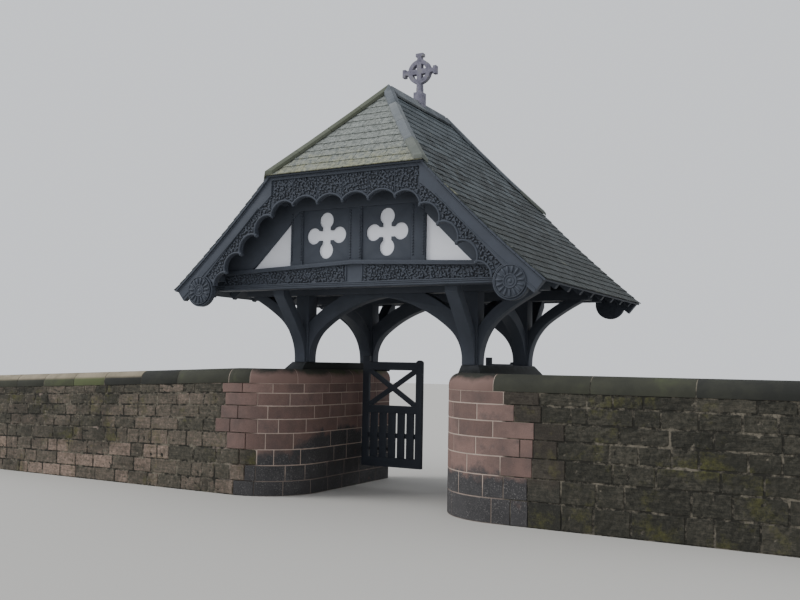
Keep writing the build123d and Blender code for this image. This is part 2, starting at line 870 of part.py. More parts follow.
with BuildPart() as hip_tiles:
    with BuildSketch(Plane.XZ):
        make_face(under_slopes(-tile_thick))
    extrude(amount=2 * hip_eaves_y, both=True)
    with BuildSketch(Plane.YZ):
        make_face(under_hips(-tile_thick))
    extrude(amount=2 * eaves_half, both=True, mode=Mode.INTERSECT)
    with BuildSketch(Plane.XY.offset(curve_height - 2 * tile_reach)) as strips:
        for sign in (-1, 1):
            with BuildLine():
                ThreePointArc(
                    (strip_x, sign * (ridge_half_length - strip_y)),
                    (hip_x / 2 + strip_x, sign * (hip_mid_y - strip_y)),
                    (hip_x + strip_x, sign * (hip_end_y - strip_y)),
                )
                Line(
                    (hip_x + strip_x, sign * (hip_end_y - strip_y)),
                    (hip_x - strip_x, sign * (hip_end_y + strip_y)),
                )
                ThreePointArc(
                    (hip_x - strip_x, sign * (hip_end_y + strip_y)),
                    (hip_x / 2 - strip_x, sign * (hip_mid_y + strip_y)),
                    (-strip_x, sign * (ridge_half_length + strip_y)),
                )
                Line(
                    (-strip_x, sign * (ridge_half_length + strip_y)),
                    (strip_x, sign * (ridge_half_length - strip_y)),
                )
            make_face()
        mirror(about=Plane.YZ)
    extrude(amount=ridge_height, mode=Mode.INTERSECT)
    add(roof_core.part, mode=Mode.SUBTRACT)
    with Locations((0, 0, curve_height)):
        Box(
            4 * tile_reach,
            2 * (ridge_tile_half + joint_gap),
            4 * ridge_height,
            mode=Mode.SUBTRACT,
        )
save(hip_tiles.part, "hip_tiles")


# Bargeboards
def scallop(start, end, rise):
    """Hollow arc between two cusps; it rises to the left of the way from start to end."""
    run_x = end[0] - start[0]
    run_z = end[1] - start[1]
    length = hypot(run_x, run_z)
    middle = (
        (start[0] + end[0]) / 2 - run_z / length * rise,
        (start[1] + end[1]) / 2 + run_x / length * rise,
    )
    return ThreePointArc(start, middle, end)


hip_foot_along = (eaves_angle - atan2(curve_height - curve_z, curve_half - curve_x)) * curve_radius
cusp_pitch = (hip_foot_along - joint_below_hip - lowest_cusp_along) / raking_scallops
cusps = [on_slope(cusp_depth, lowest_cusp_along + n * cusp_pitch) for n in range(raking_scallops + 1)]
joint_x, joint_z = cusps[-1]
neck_along = roundel_along + roundel_radius
neck = on_slope(cusp_depth, neck_along)
hip_cusp_height = curve_height - hip_cusp_drop
hip_cusp_pitch = 2 * (joint_x - corner_scallop) / hip_scallops


def raking_board(sign, side):
    """A raking bargeboard with its roundel, sign -1 in front, side 1 on the right."""
    joint_top = (joint_x + joint_gap, slope_height(rafter_top, joint_x + joint_gap))
    joint_foot = (joint_x + joint_gap, joint_z)
    n, share = length_at(rafter_top, joint_top[0])
    top_line = layer_points(rafter_top, tip_cut_along, (n + share) * roof_length)
    with BuildPart() as board:
        with BuildSketch(gable_plane(sign, board_back)):
            with BuildLine():
                Polyline(
                    *reversed(top_line),
                    *layer_points(heel_depth, tip_cut_along, neck_along),
                    neck,
                )
                scallop(cusps[0], neck, scallop_rise / 2)
                for lower, upper in zip(cusps[:-2], cusps[1:-1]):
                    scallop(upper, lower, scallop_rise)
                scallop(joint_foot, cusps[-2], scallop_rise)
                Line(joint_foot, joint_top)
            make_face()
            with Locations(on_slope(roundel_depth, roundel_along)):
                Circle(roundel_radius)
        extrude(amount=-sign * board_thick)
        with BuildSketch(gable_plane(sign, board_face)):
            make_face(slope_band(rafter_top, rafter_top + fascia_depth, tip_cut_along))
            with BuildLine():
                Polyline(
                    (0, curve_height - ridge_height),
                    (joint_top[0], curve_height - ridge_height),
                    (joint_top[0], ridge_height),
                    (0, ridge_height),
                    close=True,
                )
            make_face(mode=Mode.SUBTRACT)
        extrude(amount=-sign * fascia_proud)
        with BuildSketch(gable_plane(sign, board_face)):
            with Locations(on_slope(roundel_depth, roundel_along)):
                Circle(roundel_disc_radius)
        extrude(amount=-sign * roundel_proud)
        with BuildSketch(Plane.YZ):
            make_face(under_hips(slope_thick + seat_gap))
        extrude(amount=eaves_half, mode=Mode.INTERSECT)
    if side < 0:
        return mirror(board.part, Plane.YZ)
    return board.part


def hip_board(sign):
    """The level bargeboard under one half-hip, scalloped between the raking boards."""
    middle = hip_scallops / 2
    hip_cusps = [((n - middle) * hip_cusp_pitch, hip_cusp_height) for n in range(hip_scallops + 1)]
    with BuildPart() as board:
        with BuildSketch(gable_plane(sign, board_back)):
            with BuildLine():
                Line((-joint_x, ridge_height), (-joint_x, joint_z))
                scallop((-joint_x, joint_z), hip_cusps[0], scallop_rise)
                for left, right in zip(hip_cusps[:-1], hip_cusps[1:]):
                    scallop(left, right, hip_scallop_rise)
                scallop(hip_cusps[-1], (joint_x, joint_z), scallop_rise)
                Line((joint_x, joint_z), (joint_x, ridge_height))
                Line((joint_x, ridge_height), (-joint_x, ridge_height))
            make_face()
        extrude(amount=-sign * board_thick)
        with BuildSketch(gable_plane(sign, board_face)):
            with Locations((0, hip_height(slope_thick, board_face) - hip_fascia_depth)):
                Rectangle(2 * joint_x, ridge_height, align=(Align.CENTER, Align.MIN))
        extrude(amount=-sign * fascia_proud)
        with BuildSketch(Plane.YZ):
            make_face(under_hips(slope_thick + seat_gap))
        extrude(amount=eaves_half, both=True, mode=Mode.INTERSECT)
        with BuildSketch(Plane.XZ):
            make_face(under_slopes(slope_thick + seat_gap))
        extrude(amount=hip_eaves_y, both=True, mode=Mode.INTERSECT)
    return board.part


for row, sign in (("front", -1), ("rear", 1)):
    save(raking_board(sign, -1), f"{row}_left_bargeboard")
    save(raking_board(sign, 1), f"{row}_right_bargeboard")
    save(hip_board(sign), f"{row}_hip_board")

# Ridge cross: a stone saddle astride the ridge tiles, and a wheel-head cross on it
ridge_top = slope_height(-tile_thick, 0)
saddle_bottom = slope_height(-tile_thick, cross_base_width / 2)
cross_bottom = ridge_top + cross_base_height
cross_top = ridge_top + cross_height
cross_centre = cross_top - cross_span / 2
with BuildPart() as ridge_cross:
    with BuildSketch(Plane.XZ):
        with BuildLine():
            Polyline(
                (-cross_base_width / 2, cross_bottom),
                (-cross_base_width / 2, saddle_bottom + seat_gap),
                (0, ridge_top + seat_gap),
                (cross_base_width / 2, saddle_bottom + seat_gap),
                (cross_base_width / 2, cross_bottom),
                close=True,
            )
        make_face()
    extrude(amount=cross_base_length / 2, both=True)
    with BuildSketch(Plane.XZ):
        with Locations((0, cross_centre)):
            Circle(cross_ring_outer)
            Circle(cross_ring_inner, mode=Mode.SUBTRACT)
            Rectangle(cross_span, cross_arm)
            Rectangle(cross_arm, cross_span)
            with PolarLocations(cross_span / 2 - cross_arm / 2, 4):
                Rectangle(cross_arm, cross_flare)
        with Locations((0, cross_bottom)):
            Rectangle(cross_arm, cross_centre - cross_bottom, align=(Align.CENTER, Align.MIN))
    extrude(amount=cross_thick / 2, both=True)
save(ridge_cross.part, "ridge_cross")

# Gates: the left leaf is closed at rest and the right leaf stands open
leaf_outer = hinge_x - leaf_edge_gap
leaf_inner = meeting_gap / 2
leaf_width = leaf_outer - leaf_inner
leaf_middle = -(leaf_outer + leaf_inner) / 2
inner_width = leaf_width - 2 * stile_width
gate_top = gate_bottom + gate_height
upper_bottom = gate_mid_rail_top
upper_top = gate_top - gate_top_rail
lower_bottom = gate_bottom + gate_bottom_rail
lower_top = gate_mid_rail_top - gate_mid_rail
gate_plane = Plane((0, gate_y, 0), (1, 0, 0), (0, -1, 0))
gate_back = gate_y + gate_thick / 2
hinge_y = gate_y + hinge_offset

with BuildPart() as gate_frame:
    with BuildSketch(gate_plane):
        with Locations(
            (-leaf_outer + stile_width / 2, gate_bottom), (-leaf_inner - stile_width / 2, gate_bottom)
        ):
            Rectangle(stile_width, gate_height, align=(Align.CENTER, Align.MIN))
        with Locations((leaf_middle, gate_bottom)):
            Rectangle(leaf_width, gate_bottom_rail, align=(Align.CENTER, Align.MIN))
        with Locations((leaf_middle, gate_mid_rail_top)):
            Rectangle(leaf_width, gate_mid_rail, align=(Align.CENTER, Align.MAX))
        with Locations((leaf_middle, gate_top)):
            Rectangle(leaf_width, gate_top_rail, align=(Align.CENTER, Align.MAX))
        with Locations((-leaf_outer + stile_width / 2, gate_top)):
            Rectangle(stile_width, hanging_head, align=(Align.CENTER, Align.MIN))
        with BuildLine():
            ThreePointArc(
                (-leaf_inner, gate_top),
                (-leaf_inner - stile_width / 2, gate_top + stile_head),
                (-leaf_inner - stile_width, gate_top),
            )
            Line((-leaf_inner - stile_width, gate_top), (-leaf_inner, gate_top))
        make_face()
    extrude(amount=gate_thick / 2, both=True)
    with BuildSketch(gate_plane):
        with Locations((leaf_middle, (upper_bottom + upper_top) / 2)):
            slant = degrees(atan2(upper_top - upper_bottom, inner_width))
            for turn in (slant, -slant):
                Rectangle(leaf_width, brace_bar, rotation=turn)
            Rectangle(inner_width, upper_top - upper_bottom, mode=Mode.INTERSECT)
    extrude(amount=brace_bar_thick / 2, both=True)
    with BuildSketch(Plane((0, gate_y + pale_thick / 2, 0), (1, 0, 0), (0, -1, 0))):
        with Locations((leaf_middle, gate_ledge_height)):
            Rectangle(inner_width, gate_ledge, align=(Align.CENTER, Align.MIN))
    extrude(amount=pale_thick / 2 - gate_thick / 2)

pale_width = (inner_width - (pale_count + 1) * pale_gap) / pale_count
with BuildPart() as gate_pales:
    with BuildSketch(gate_plane):
        with Locations((leaf_middle, (lower_bottom + lower_top) / 2)):
            with GridLocations(pale_width + pale_gap, 0, pale_count, 1):
                Rectangle(pale_width, lower_top - lower_bottom - 2 * seat_gap)
    extrude(amount=pale_thick / 2 - seat_gap, both=True)

with BuildPart() as gate_hinges:
    for height in hinge_heights:
        with BuildSketch(Plane.XY.offset(height)):
            with Locations((-hinge_x, hinge_y)):
                Circle(hinge_eye_radius)
            with Locations((-hinge_x, gate_back + seat_gap)):
                Rectangle(strap_length, strap_thick, align=(Align.MIN, Align.MIN))
            with Locations((-hinge_x, hinge_y)):
                Circle(hinge_pin_radius + hinge_clearance, mode=Mode.SUBTRACT)
        extrude(amount=hinge_eye_height / 2, both=True)

with BuildPart() as gate_pintles:
    for side in (-1, 1):
        for height in hinge_heights:
            foot = height - hinge_eye_height / 2 - seat_gap
            with BuildSketch(Plane.XY.offset(foot)):
                with Locations((side * (passage_half + hinge_x - pintle_arm / 2) / 2, hinge_y)):
                    Rectangle(passage_half - hinge_x + pintle_arm / 2, pintle_arm)
            extrude(amount=-pintle_arm)
            with BuildSketch(Plane.XY.offset(foot)):
                with Locations((side * hinge_x, hinge_y)):
                    Circle(hinge_pin_radius)
            extrude(amount=hinge_eye_height + 2 * seat_gap + strap_thick)
save(gate_pintles.part, "gate_pintles")

hinge_axis = Axis((hinge_x, hinge_y, 0), (0, 0, 1))
for piece, name in (
    (gate_frame.part, "gate_frame"),
    (gate_pales.part, "gate_pales"),
    (gate_hinges.part, "gate_hinges"),
):
    save(piece, f"left_{name}")
    save(mirror(piece, Plane.YZ).rotate(hinge_axis, -90), f"right_{name}")
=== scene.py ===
# Dresses the lychgate: coursed sandstone, slates, painted and carved oak, on a pale studio floor.
# Metres. +X along the road to the right, +Y into the churchyard, +Z up.
from math import acos, atan2, ceil, cos, hypot, pi, radians, sin, tan

import bmesh
import bpy
import numpy as np
from bpy.props import FloatProperty, FloatVectorProperty, IntProperty, PointerProperty
from mathutils import Matrix, Vector


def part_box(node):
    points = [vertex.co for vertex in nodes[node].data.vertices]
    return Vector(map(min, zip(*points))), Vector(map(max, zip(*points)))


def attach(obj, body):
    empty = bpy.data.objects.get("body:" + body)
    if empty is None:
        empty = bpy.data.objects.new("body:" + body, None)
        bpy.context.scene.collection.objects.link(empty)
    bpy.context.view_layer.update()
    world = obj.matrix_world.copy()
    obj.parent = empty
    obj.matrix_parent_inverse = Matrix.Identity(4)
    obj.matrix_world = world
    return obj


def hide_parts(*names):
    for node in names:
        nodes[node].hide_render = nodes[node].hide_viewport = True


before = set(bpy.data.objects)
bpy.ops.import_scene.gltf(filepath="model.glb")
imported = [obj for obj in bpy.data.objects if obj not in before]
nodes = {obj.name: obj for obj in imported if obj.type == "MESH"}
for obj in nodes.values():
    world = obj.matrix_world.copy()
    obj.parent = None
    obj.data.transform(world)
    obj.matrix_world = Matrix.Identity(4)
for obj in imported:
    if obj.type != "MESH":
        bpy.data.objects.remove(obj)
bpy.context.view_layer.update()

bl_info = {
    "name": "Lychgate",
    "version": (1, 0, 0),
    "blender": (4, 5, 0),
    "location": "View3D > Sidebar > Lychgate",
    "description": "Builds a half-hipped oak lychgate on sandstone walls over its packed frame",
    "category": "Object",
}

ROOT = "lychgate"


def linear(code):
    """Linear colour of an sRGB hex value."""
    parts = [int(code[i : i + 2], 16) / 255 for i in (1, 3, 5)]
    return [c / 12.92 if c <= 0.04045 else ((c + 0.055) / 1.055) ** 2.4 for c in parts]


def rgba(colour):
    """A grey, a hex value or a linear colour as the four parts that a socket takes."""
    if isinstance(colour, str):
        colour = linear(colour)
    elif isinstance(colour, (int, float)):
        colour = [colour] * 3
    return (*colour[:3], 1.0)


def scaled(colour, by):
    """A linear colour made darker or lighter."""
    return [min(1, part * by) for part in colour]


# Sizes that the frame's boxes give
wall_low, wall_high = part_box("right_wall")
wall_top = wall_high.z
wall_end = wall_high.x
wall_back = wall_high.y
passage_half = wall_low.x
road_face = -wall_low.y
eaves_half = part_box("right_roof_slope")[1].x
verge_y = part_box("right_roof_slope")[1].y
hip_eaves_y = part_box("rear_half_hip")[1].y
cross_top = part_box("ridge_cross")[1].z

# Sizes of the same shapes that a box doesn't give
wall_thick = 0.45
corner_radius = 0.82
left_fall = 0.2
eaves_height = 2.657
curve_half = 1.109
curve_height = 4.061
ridge_height = 5.346
ridge_half = 0.877
slope_thick = 0.05
board_face = 1.935
fascia_top = 0.0503
fascia_depth = 0.175
fascia_proud = 0.018
fascia_cut = 0.032
cusp_depth = 0.412
cusp_pitch = 0.32
lowest_cusp = 0.76
scallop_rise = 0.112
hip_cusp_pitch = 0.361
hip_cusp_height = 3.659
hip_scallop_rise = 0.092
hip_fascia = 0.085
roundel_along = 0.313
roundel_depth = 0.298
roundel_radius = 0.21
tie_face = 1.632
tie_bottom = 2.651
tie_top = 2.985
tie_camber = 0.042
tie_cap = 0.05
tie_base = 0.07
tie_half = 2.118
stud_x = 0.872
stud_width = 0.185
rail_bottom = 3.64
cross_height = 0.72
cross_half = 0.3

# Sizes that only the dressed pieces have
slate_depth = 0.026
slate_tilt = 0.0165
roof_board = 0.148
slab_count = 4
slab_gap = 0.002
carving_gap = 0.012
bead_pitch = 0.034
bead_size = 0.027
petal_reach = 0.079


class LychgateStonework(bpy.types.PropertyGroup):
    """Sizes of the walls and their copings."""

    ashlar: FloatProperty(
        name="Ashlar length", description="Usual stone on the rounded corners", default=0.36, unit="LENGTH"
    )
    rubble: FloatProperty(
        name="Rubble length", description="Usual stone in the boundary walls", default=0.34, unit="LENGTH"
    )
    joint: FloatProperty(
        name="Joint", description="Width of the mortar joints", default=0.011, unit="LENGTH", precision=4
    )
    pink: FloatVectorProperty(
        name="Sandstone", description="Clean red sandstone", subtype="COLOR", default=linear("#806962")
    )
    crust: FloatVectorProperty(
        name="Crust", description="Dark crust of the lowest courses", subtype="COLOR", default=linear("#434243")
    )
    moss: FloatVectorProperty(
        name="Moss", description="Algae and moss on the boundary walls", subtype="COLOR", default=linear("#585830")
    )
    mortar: FloatVectorProperty(
        name="Mortar", description="Lime mortar", subtype="COLOR", default=linear("#B9A79B")
    )


class LychgateRoofing(bpy.types.PropertyGroup):
    """Sizes and colours of the slating."""

    gauge: FloatProperty(
        name="Gauge", description="Height of a course on the long slopes", default=0.131, unit="LENGTH"
    )
    hip_gauge: FloatProperty(
        name="Hip gauge", description="Height of a course on the half-hips", default=0.1425, unit="LENGTH"
    )
    width: FloatProperty(name="Width", description="Usual width of a slate", default=0.19, unit="LENGTH")
    thickness: FloatProperty(
        name="Thickness", description="Thickness of a slate", default=0.011, unit="LENGTH", precision=4
    )
    slate: FloatVectorProperty(
        name="Slate", description="Weathered green slate", subtype="COLOR", default=linear("#3F4548")
    )
    lichen: FloatVectorProperty(
        name="Lichen", description="Moss and lichen on the slates", subtype="COLOR", default=linear("#82826A")
    )


class LychgateWoodwork(bpy.types.PropertyGroup):
    """Sizes and colours of the timbers and their carving."""

    chamfer: FloatProperty(
        name="Chamfer", description="Worn edges of the timbers", default=0.008, unit="LENGTH", precision=4
    )
    leaf: FloatProperty(name="Leaf", description="Length of a carved leaf", default=0.052, unit="LENGTH")
    roll: FloatProperty(
        name="Roll", description="Radius of the moulding on the scallops", default=0.014, unit="LENGTH"
    )
    petals: IntProperty(name="Petals", description="Petals in each roundel", default=15)
    paint: FloatVectorProperty(
        name="Paint", description="Matt black paint on the oak", subtype="COLOR", default=linear("#41464F")
    )
    plaster: FloatVectorProperty(
        name="Plaster", description="White masonry paint", subtype="COLOR", default=linear("#F0F2F9")
    )


# Nodes, for shaders and for geometry
def node(tree, kind, inputs=None, **settings):
    """Add one node with its settings, and its inputs as values or as sockets to link."""
    made = tree.nodes.new(kind)
    for key, value in settings.items():
        setattr(made, key, value)
    for key, value in (inputs or {}).items():
        if isinstance(value, bpy.types.NodeSocket):
            tree.links.new(value, made.inputs[key])
        else:
            made.inputs[key].default_value = value
    return made


def tree_of(*values):
    """The tree of the first socket among some values."""
    return next(value.id_data for value in values if isinstance(value, bpy.types.NodeSocket))


def maths(operation, a, b=0.0):
    """One sum on two values."""
    return node(tree_of(a, b), "ShaderNodeMath", {0: a, 1: b}, operation=operation).outputs[0]


def plus(a, b):
    return maths("ADD", a, b)


def less(a, b):
    return maths("SUBTRACT", a, b)


def times(a, b):
    return maths("MULTIPLY", a, b)


def swung(value, spread):
    """A pattern about a half, as a swing either way of nothing."""
    return times(less(value, 0.5), spread)


def vectors(operation, a, b=(0, 0, 0)):
    """One sum on two vectors."""
    return node(tree_of(a, b), "ShaderNodeVectorMath", {0: a, 1: b}, operation=operation).outputs[0]


def part(vector, axis):
    """One part of a vector."""
    return node(vector.id_data, "ShaderNodeSeparateXYZ", {0: vector}).outputs[axis]


def shader(name, roughness):
    """A material, and the object coordinates that its patterns lie on."""
    made = bpy.data.materials.new(name)
    made.use_nodes = True
    surface = made.node_tree.nodes["Principled BSDF"]
    surface.inputs["Roughness"].default_value = roughness
    # stone, slate and matt paint give little sheen
    surface.inputs["Specular IOR Level"].default_value = 0.22
    return made, node(made.node_tree, "ShaderNodeTexCoord").outputs["Object"]


def coated(made, colour, height, strength, distance):
    """Colour a material, and bump it by a height pattern, distance metres deep."""
    tree = made.node_tree
    surface = tree.nodes["Principled BSDF"]
    tree.links.new(colour, surface.inputs["Base Color"])
    bump = node(tree, "ShaderNodeBump", {"Height": height, "Strength": strength, "Distance": distance})
    tree.links.new(bump.outputs["Normal"], surface.inputs["Normal"])
    return made


def ramp(fac, *stops):
    """A colour ramp through (place, colour) stops."""
    made = node(fac.id_data, "ShaderNodeValToRGB", {"Fac": fac})
    bar = made.color_ramp.elements
    while len(bar) < len(stops):
        bar.new(0.5)
    for element, (place, colour) in zip(bar, stops):
        element.position = place
        element.color = rgba(colour)
    return made.outputs["Color"]


def rise(fac, low, high, top=1.0):
    """A ramp from nothing at the low place to the top value at the high one."""
    return ramp(fac, (low, 0.0), (high, top))


def mixed(fac, a, b, blend="MIX"):
    """Two colours mixed by a factor."""
    a, b = (c if isinstance(c, bpy.types.NodeSocket) else rgba(c) for c in (a, b))
    return node(
        tree_of(fac, a, b), "ShaderNodeMix", {0: fac, 6: a, 7: b}, data_type="RGBA", blend_type=blend
    ).outputs[2]


def grainy(place, scale, detail=4.0, rough=0.6):
    """Value of a noise whose features are one over scale metres wide."""
    inputs = {"Vector": place, "Scale": scale, "Detail": detail, "Roughness": rough}
    return node(place.id_data, "ShaderNodeTexNoise", inputs).outputs[0]


def stretched(place, *scale):
    """Coordinates with their own scale on each axis."""
    return node(place.id_data, "ShaderNodeMapping", {"Vector": place, "Scale": scale}).outputs[0]


def stored(place, name):
    """A value that the mesh's vertices carry."""
    return node(place.id_data, "ShaderNodeAttribute", attribute_name=name).outputs["Fac"]


def upward(place):
    """How far the surface faces up."""
    return part(node(place.id_data, "ShaderNodeNewGeometry").outputs["Normal"], "Z")


# Materials
def sandstone():
    """New red sandstone, tooled smooth on the corners and hewn rough in the boundary walls.
    Each stone has its own tone; the lowest courses carry a dark crust with white salts, which on
    the left wall reaches higher towards the passage as painted shade; the hewn stones are dark with soot and
    algae."""
    stone = bpy.context.scene.lychgate_stonework
    made, place = shader("new_red_sandstone", 0.9)
    tone, crust, hewn = (stored(place, name) for name in ("tone", "crust", "hewn"))
    # beds of 60 mm in the stone, clouds of 150 mm across it
    bed = stretched(place, 2.5, 2.5, 16)
    cloud = grainy(place, 6.5)
    pink = ramp(
        plus(times(tone, 0.6), times(cloud, 0.4)),
        (0.15, scaled(stone.pink, 0.74)),
        (0.5, stone.pink),
        (0.85, scaled(stone.pink, 1.2)),
    )
    pink = mixed(times(grainy(bed, 1.0), 0.35), pink, "#6E5A55")
    pink = mixed(rise(grainy(place, 2.4, 6, 0.7), 0.42, 0.68, 0.65), pink, "#544C4A")
    salts = rise(grainy(place, 60, 6, 0.8), 0.54, 0.66)
    stain = mixed(cloud, scaled(stone.crust, 0.7), scaled(stone.crust, 1.35))
    bloom = ramp(grainy(place, 3.5, 5), (0.4, 0.15), (0.62, 0.8))
    dark = mixed(times(salts, bloom), stain, "#A3A09D")
    reach = plus(crust, plus(swung(tone, 0.5), swung(cloud, 1.5)))
    body = mixed(rise(reach, 0.3, 0.7), pink, dark)
    # hewn faces: a dark tone for each stone, mottled 30 mm coarse and combed by the chisel
    mottle = rise(grainy(place, 24, 8, 0.8), 0.3, 0.7)
    comb = rise(grainy(stretched(place, 7, 7, 75), 1.0, 4, 0.7), 0.35, 0.65)
    soot = ramp(
        plus(times(tone, 0.55), plus(times(mottle, 0.42), times(comb, 0.16))),
        (0.14, "#22221F"),
        (0.32, "#373630"),
        (0.5, "#4E4B42"),
        (0.7, "#6A6056"),
        (0.95, "#9A8578"),
    )
    damp = rise(grainy(place, 1.1, 4, 0.7), 0.46, 0.6)
    soot = mixed(times(damp, 0.6), soot, "#2C2C27")
    growth = rise(grainy(place, 2.3, 6, 0.75), 0.54, 0.68)
    soot = mixed(times(growth, times(mottle, 1.1)), soot, stone.moss)
    pale = rise(grainy(place, 85, 4, 0.8), 0.57, 0.7)
    soot = mixed(times(pale, 0.25), soot, "#857F72")
    speck = ramp(grainy(place, 130, 3), (0.35, 0.74), (0.65, 1.14))
    body = mixed(0.7, mixed(hewn, body, soot), speck, "MULTIPLY")
    # sand grains drawn 4 mm coarse so that they show; tool marks 30 mm apart
    return coated(made, body, plus(grainy(place, 240, 2), grainy(place, 28, 5)), 0.6, 0.006)


def mortar():
    """Lime mortar: pale and gritty, splashed dark near the road, and blackened and patchy
    between the hewn stones beyond the corners."""
    stone = bpy.context.scene.lychgate_stonework
    made, place = shader("lime_mortar", 0.95)
    fresh = mixed(grainy(place, 9), scaled(stone.mortar, 0.65), stone.mortar)
    splash = ramp(plus(part(place, "Z"), grainy(place, 3)), (0.75, 0.75), (1.0, 0.0))
    fresh = mixed(splash, fresh, "#5C5652")
    black = ramp(grainy(place, 6, 6, 0.75), (0.47, "#2B2A26"), (0.62, "#716B5F"))
    # a ramp's places end at 1, so the distance along the road is measured in tens of metres
    across = times(maths("ABSOLUTE", part(place, "X")), 0.1)
    beyond = rise(across, (corner_x + 0.52) / 10, (corner_x + 0.58) / 10, 0.75)
    reach = plus(maths("MAXIMUM", stored(place, "hewn"), beyond), less(grainy(place, 4), 0.5))
    return coated(made, mixed(rise(reach, 0.4, 0.65), fresh, black), grainy(place, 160, 3), 0.6, 0.003)


def coping_stone():
    """The same sandstone cut to a bull nose, stained grey-green where the rain stands; at the far left
    the tops are painted pale beige as painted sunlight."""
    made, place = shader("weathered_coping_sandstone", 0.88)
    pink = bpy.context.scene.lychgate_stonework.pink
    cloud = grainy(place, 4, 6)
    clean = mixed(cloud, scaled(pink, 0.75), scaled(pink, 1.1))
    stained = ramp(
        plus(times(stored(place, "tone"), 0.5), times(cloud, 0.5)),
        (0.25, "#2F302D"),
        (0.5, "#404138"),
        (0.75, "#565D40"),
    )
    up = upward(place)
    # painted sunlight: the tops of the far left stones are painted pale beige, as if the sun lit them
    painted_sunlit_top = ramp(cloud, (0.3, "#77705F"), (0.6, "#958B78"))
    stained = mixed(times(stored(place, "pale"), rise(up, 0.3, 0.55)), stained, painted_sunlit_top)
    reach = plus(plus(stored(place, "moss"), times(up, 0.45)), swung(cloud, 0.8))
    body = mixed(rise(reach, 0.3, 0.55), clean, stained)
    return coated(made, body, plus(grainy(place, 200, 2), grainy(place, 22, 5)), 0.5, 0.004)


def cross_stone():
    """Grey gritstone, carved and lichened."""
    made, place = shader("carved_gritstone", 0.9)
    body = ramp(grainy(place, 14, 6), (0.3, "#62616E"), (0.55, "#807E8C"), (0.75, "#8B8C80"))
    return coated(made, body, grainy(place, 150, 4), 0.5, 0.003)


def slating():
    """Riven green slate: a dull sheen, small ridges down each slate, and patches of moss; the
    half-hips are painted paler and bluer, partly weathered pale by the rain and partly as painted light from the
    bright sky they face."""
    roof = bpy.context.scene.lychgate_roofing
    made, place = shader("riven_green_slate", 0.72)
    fine = grainy(place, 60, 6, 0.7)
    body = ramp(
        plus(times(stored(place, "tone"), 0.6), times(fine, 0.4)),
        (0.2, scaled(roof.slate, 0.45)),
        (0.5, roof.slate),
        (0.8, scaled(roof.slate, 1.7)),
    )
    # soot and algae darken the slates low on the slope, where the water runs slowest
    height = times(part(place, "Z"), 0.1)
    body = mixed(ramp(height, (0.3, 0.65), (0.42, 0.0)), body, "#2D312E")
    body = mixed(rise(height, 0.44, 0.53, 0.6), body, "#5A6369")
    blotch = rise(grainy(place, 26, 6, 0.8), 0.36, 0.62)
    # painted light: the half-hips are made paler and bluer, partly weathering and partly the light of the sky they
    # face
    washed = mixed(blotch, "#4F5450", "#A4A8A2")
    body = mixed(times(stored(place, "weathered_and_sky_lit"), 0.75), body, washed)
    patch = plus(stored(place, "moss"), swung(grainy(place, 13, 6, 0.75), 1.3))
    grown = mixed(blotch, scaled(roof.lichen, 0.6), scaled(roof.lichen, 1.4))
    body = mixed(rise(patch, 0.35, 0.75), body, grown)
    specks = rise(grainy(place, 48, 5, 0.75), 0.56, 0.68)
    body = mixed(times(specks, 0.4), body, "#9A9C92")
    return coated(made, body, plus(fine, grainy(place, 18, 4)), 0.6, 0.004)


def ridge_stone():
    """Sawn grey sandstone ridge and hip slabs, rain-washed pale, or mossy."""
    made, place = shader("sawn_ridge_stone", 0.85)
    shade = plus(times(stored(place, "tone"), 0.4), times(grainy(place, 7, 5), 0.6))
    bare = ramp(shade, (0.25, "#474C50"), (0.5, "#666B70"), (0.75, "#7B7F80"))
    green = mixed(grainy(place, 30, 5, 0.75), "#3C4034", "#6C705A")
    return coated(made, mixed(stored(place, "moss"), bare, green), grainy(place, 120, 4), 0.4, 0.003)


def painted_oak(name, grain, shade=1.0):
    """Oak under many coats of matt black paint: the grain still lifts it a little, dust greys
    what faces up, and the hollows of the carving are darkened as painted shade."""
    made, place = shader(name, 0.62)
    # grain 8 mm wide, drawn out along the timber
    lines = grainy(stretched(place, *grain), 1.0, 5, 0.65)
    base = scaled(bpy.context.scene.lychgate_woodwork.paint, shade)
    colour = mixed(grainy(place, 5, 5), scaled(base, 0.8), scaled(base, 1.25))
    # painted shade: the sunk rings of every carved ornament are darkened, for the shade in the carving's hollows
    if name.endswith("carved"):
        colour = mixed(stored(place, "sunk"), colour, scaled(base, 0.36))
    dust = times(rise(upward(place), 0.6, 0.95), 0.2)
    return coated(made, mixed(dust, colour, "#77797B"), lines, 0.35, 0.003)


def sill_oak():
    """Old oak under dark paint, its top faces painted grey: partly paint worn thin and greyed by rain, partly a
    painted reflection of the bright sky.
    """
    made, place = shader("weathered_sill_oak_sky_sheen", 0.75)
    lines = grainy(stretched(place, 110, 5, 110), 1.0, 5, 0.7)
    grey = mixed(lines, "#3A3C40", "#5A5C61")
    dark = mixed(lines, "#191B1B", "#272A28")
    # painted reflection: faces that look up are painted grey for the sky they reflect, as well as for thin paint
    bare = rise(plus(upward(place), times(grainy(place, 9), 0.3)), 0.75, 1.0)
    return coated(made, mixed(bare, dark, grey), lines, 0.6, 0.004)



def plaster():
    """Lime plaster under white masonry paint, slightly uneven from the float."""
    made, place = shader("white_masonry_paint", 0.7)
    white = bpy.context.scene.lychgate_woodwork.plaster
    body = mixed(grainy(place, 3.5, 5), scaled(white, 0.86), white)
    return coated(made, body, grainy(place, 35, 4), 0.3, 0.003)


def iron():
    """Wrought iron under old black paint, with rust breaking through."""
    made, place = shader("painted_wrought_iron", 0.55)
    rust = rise(grainy(place, 60, 5), 0.55, 0.7)
    return coated(made, mixed(times(rust, 0.7), "#202224", "#4C3227"), grainy(place, 120, 3), 0.3, 0.001)


finishes = {}


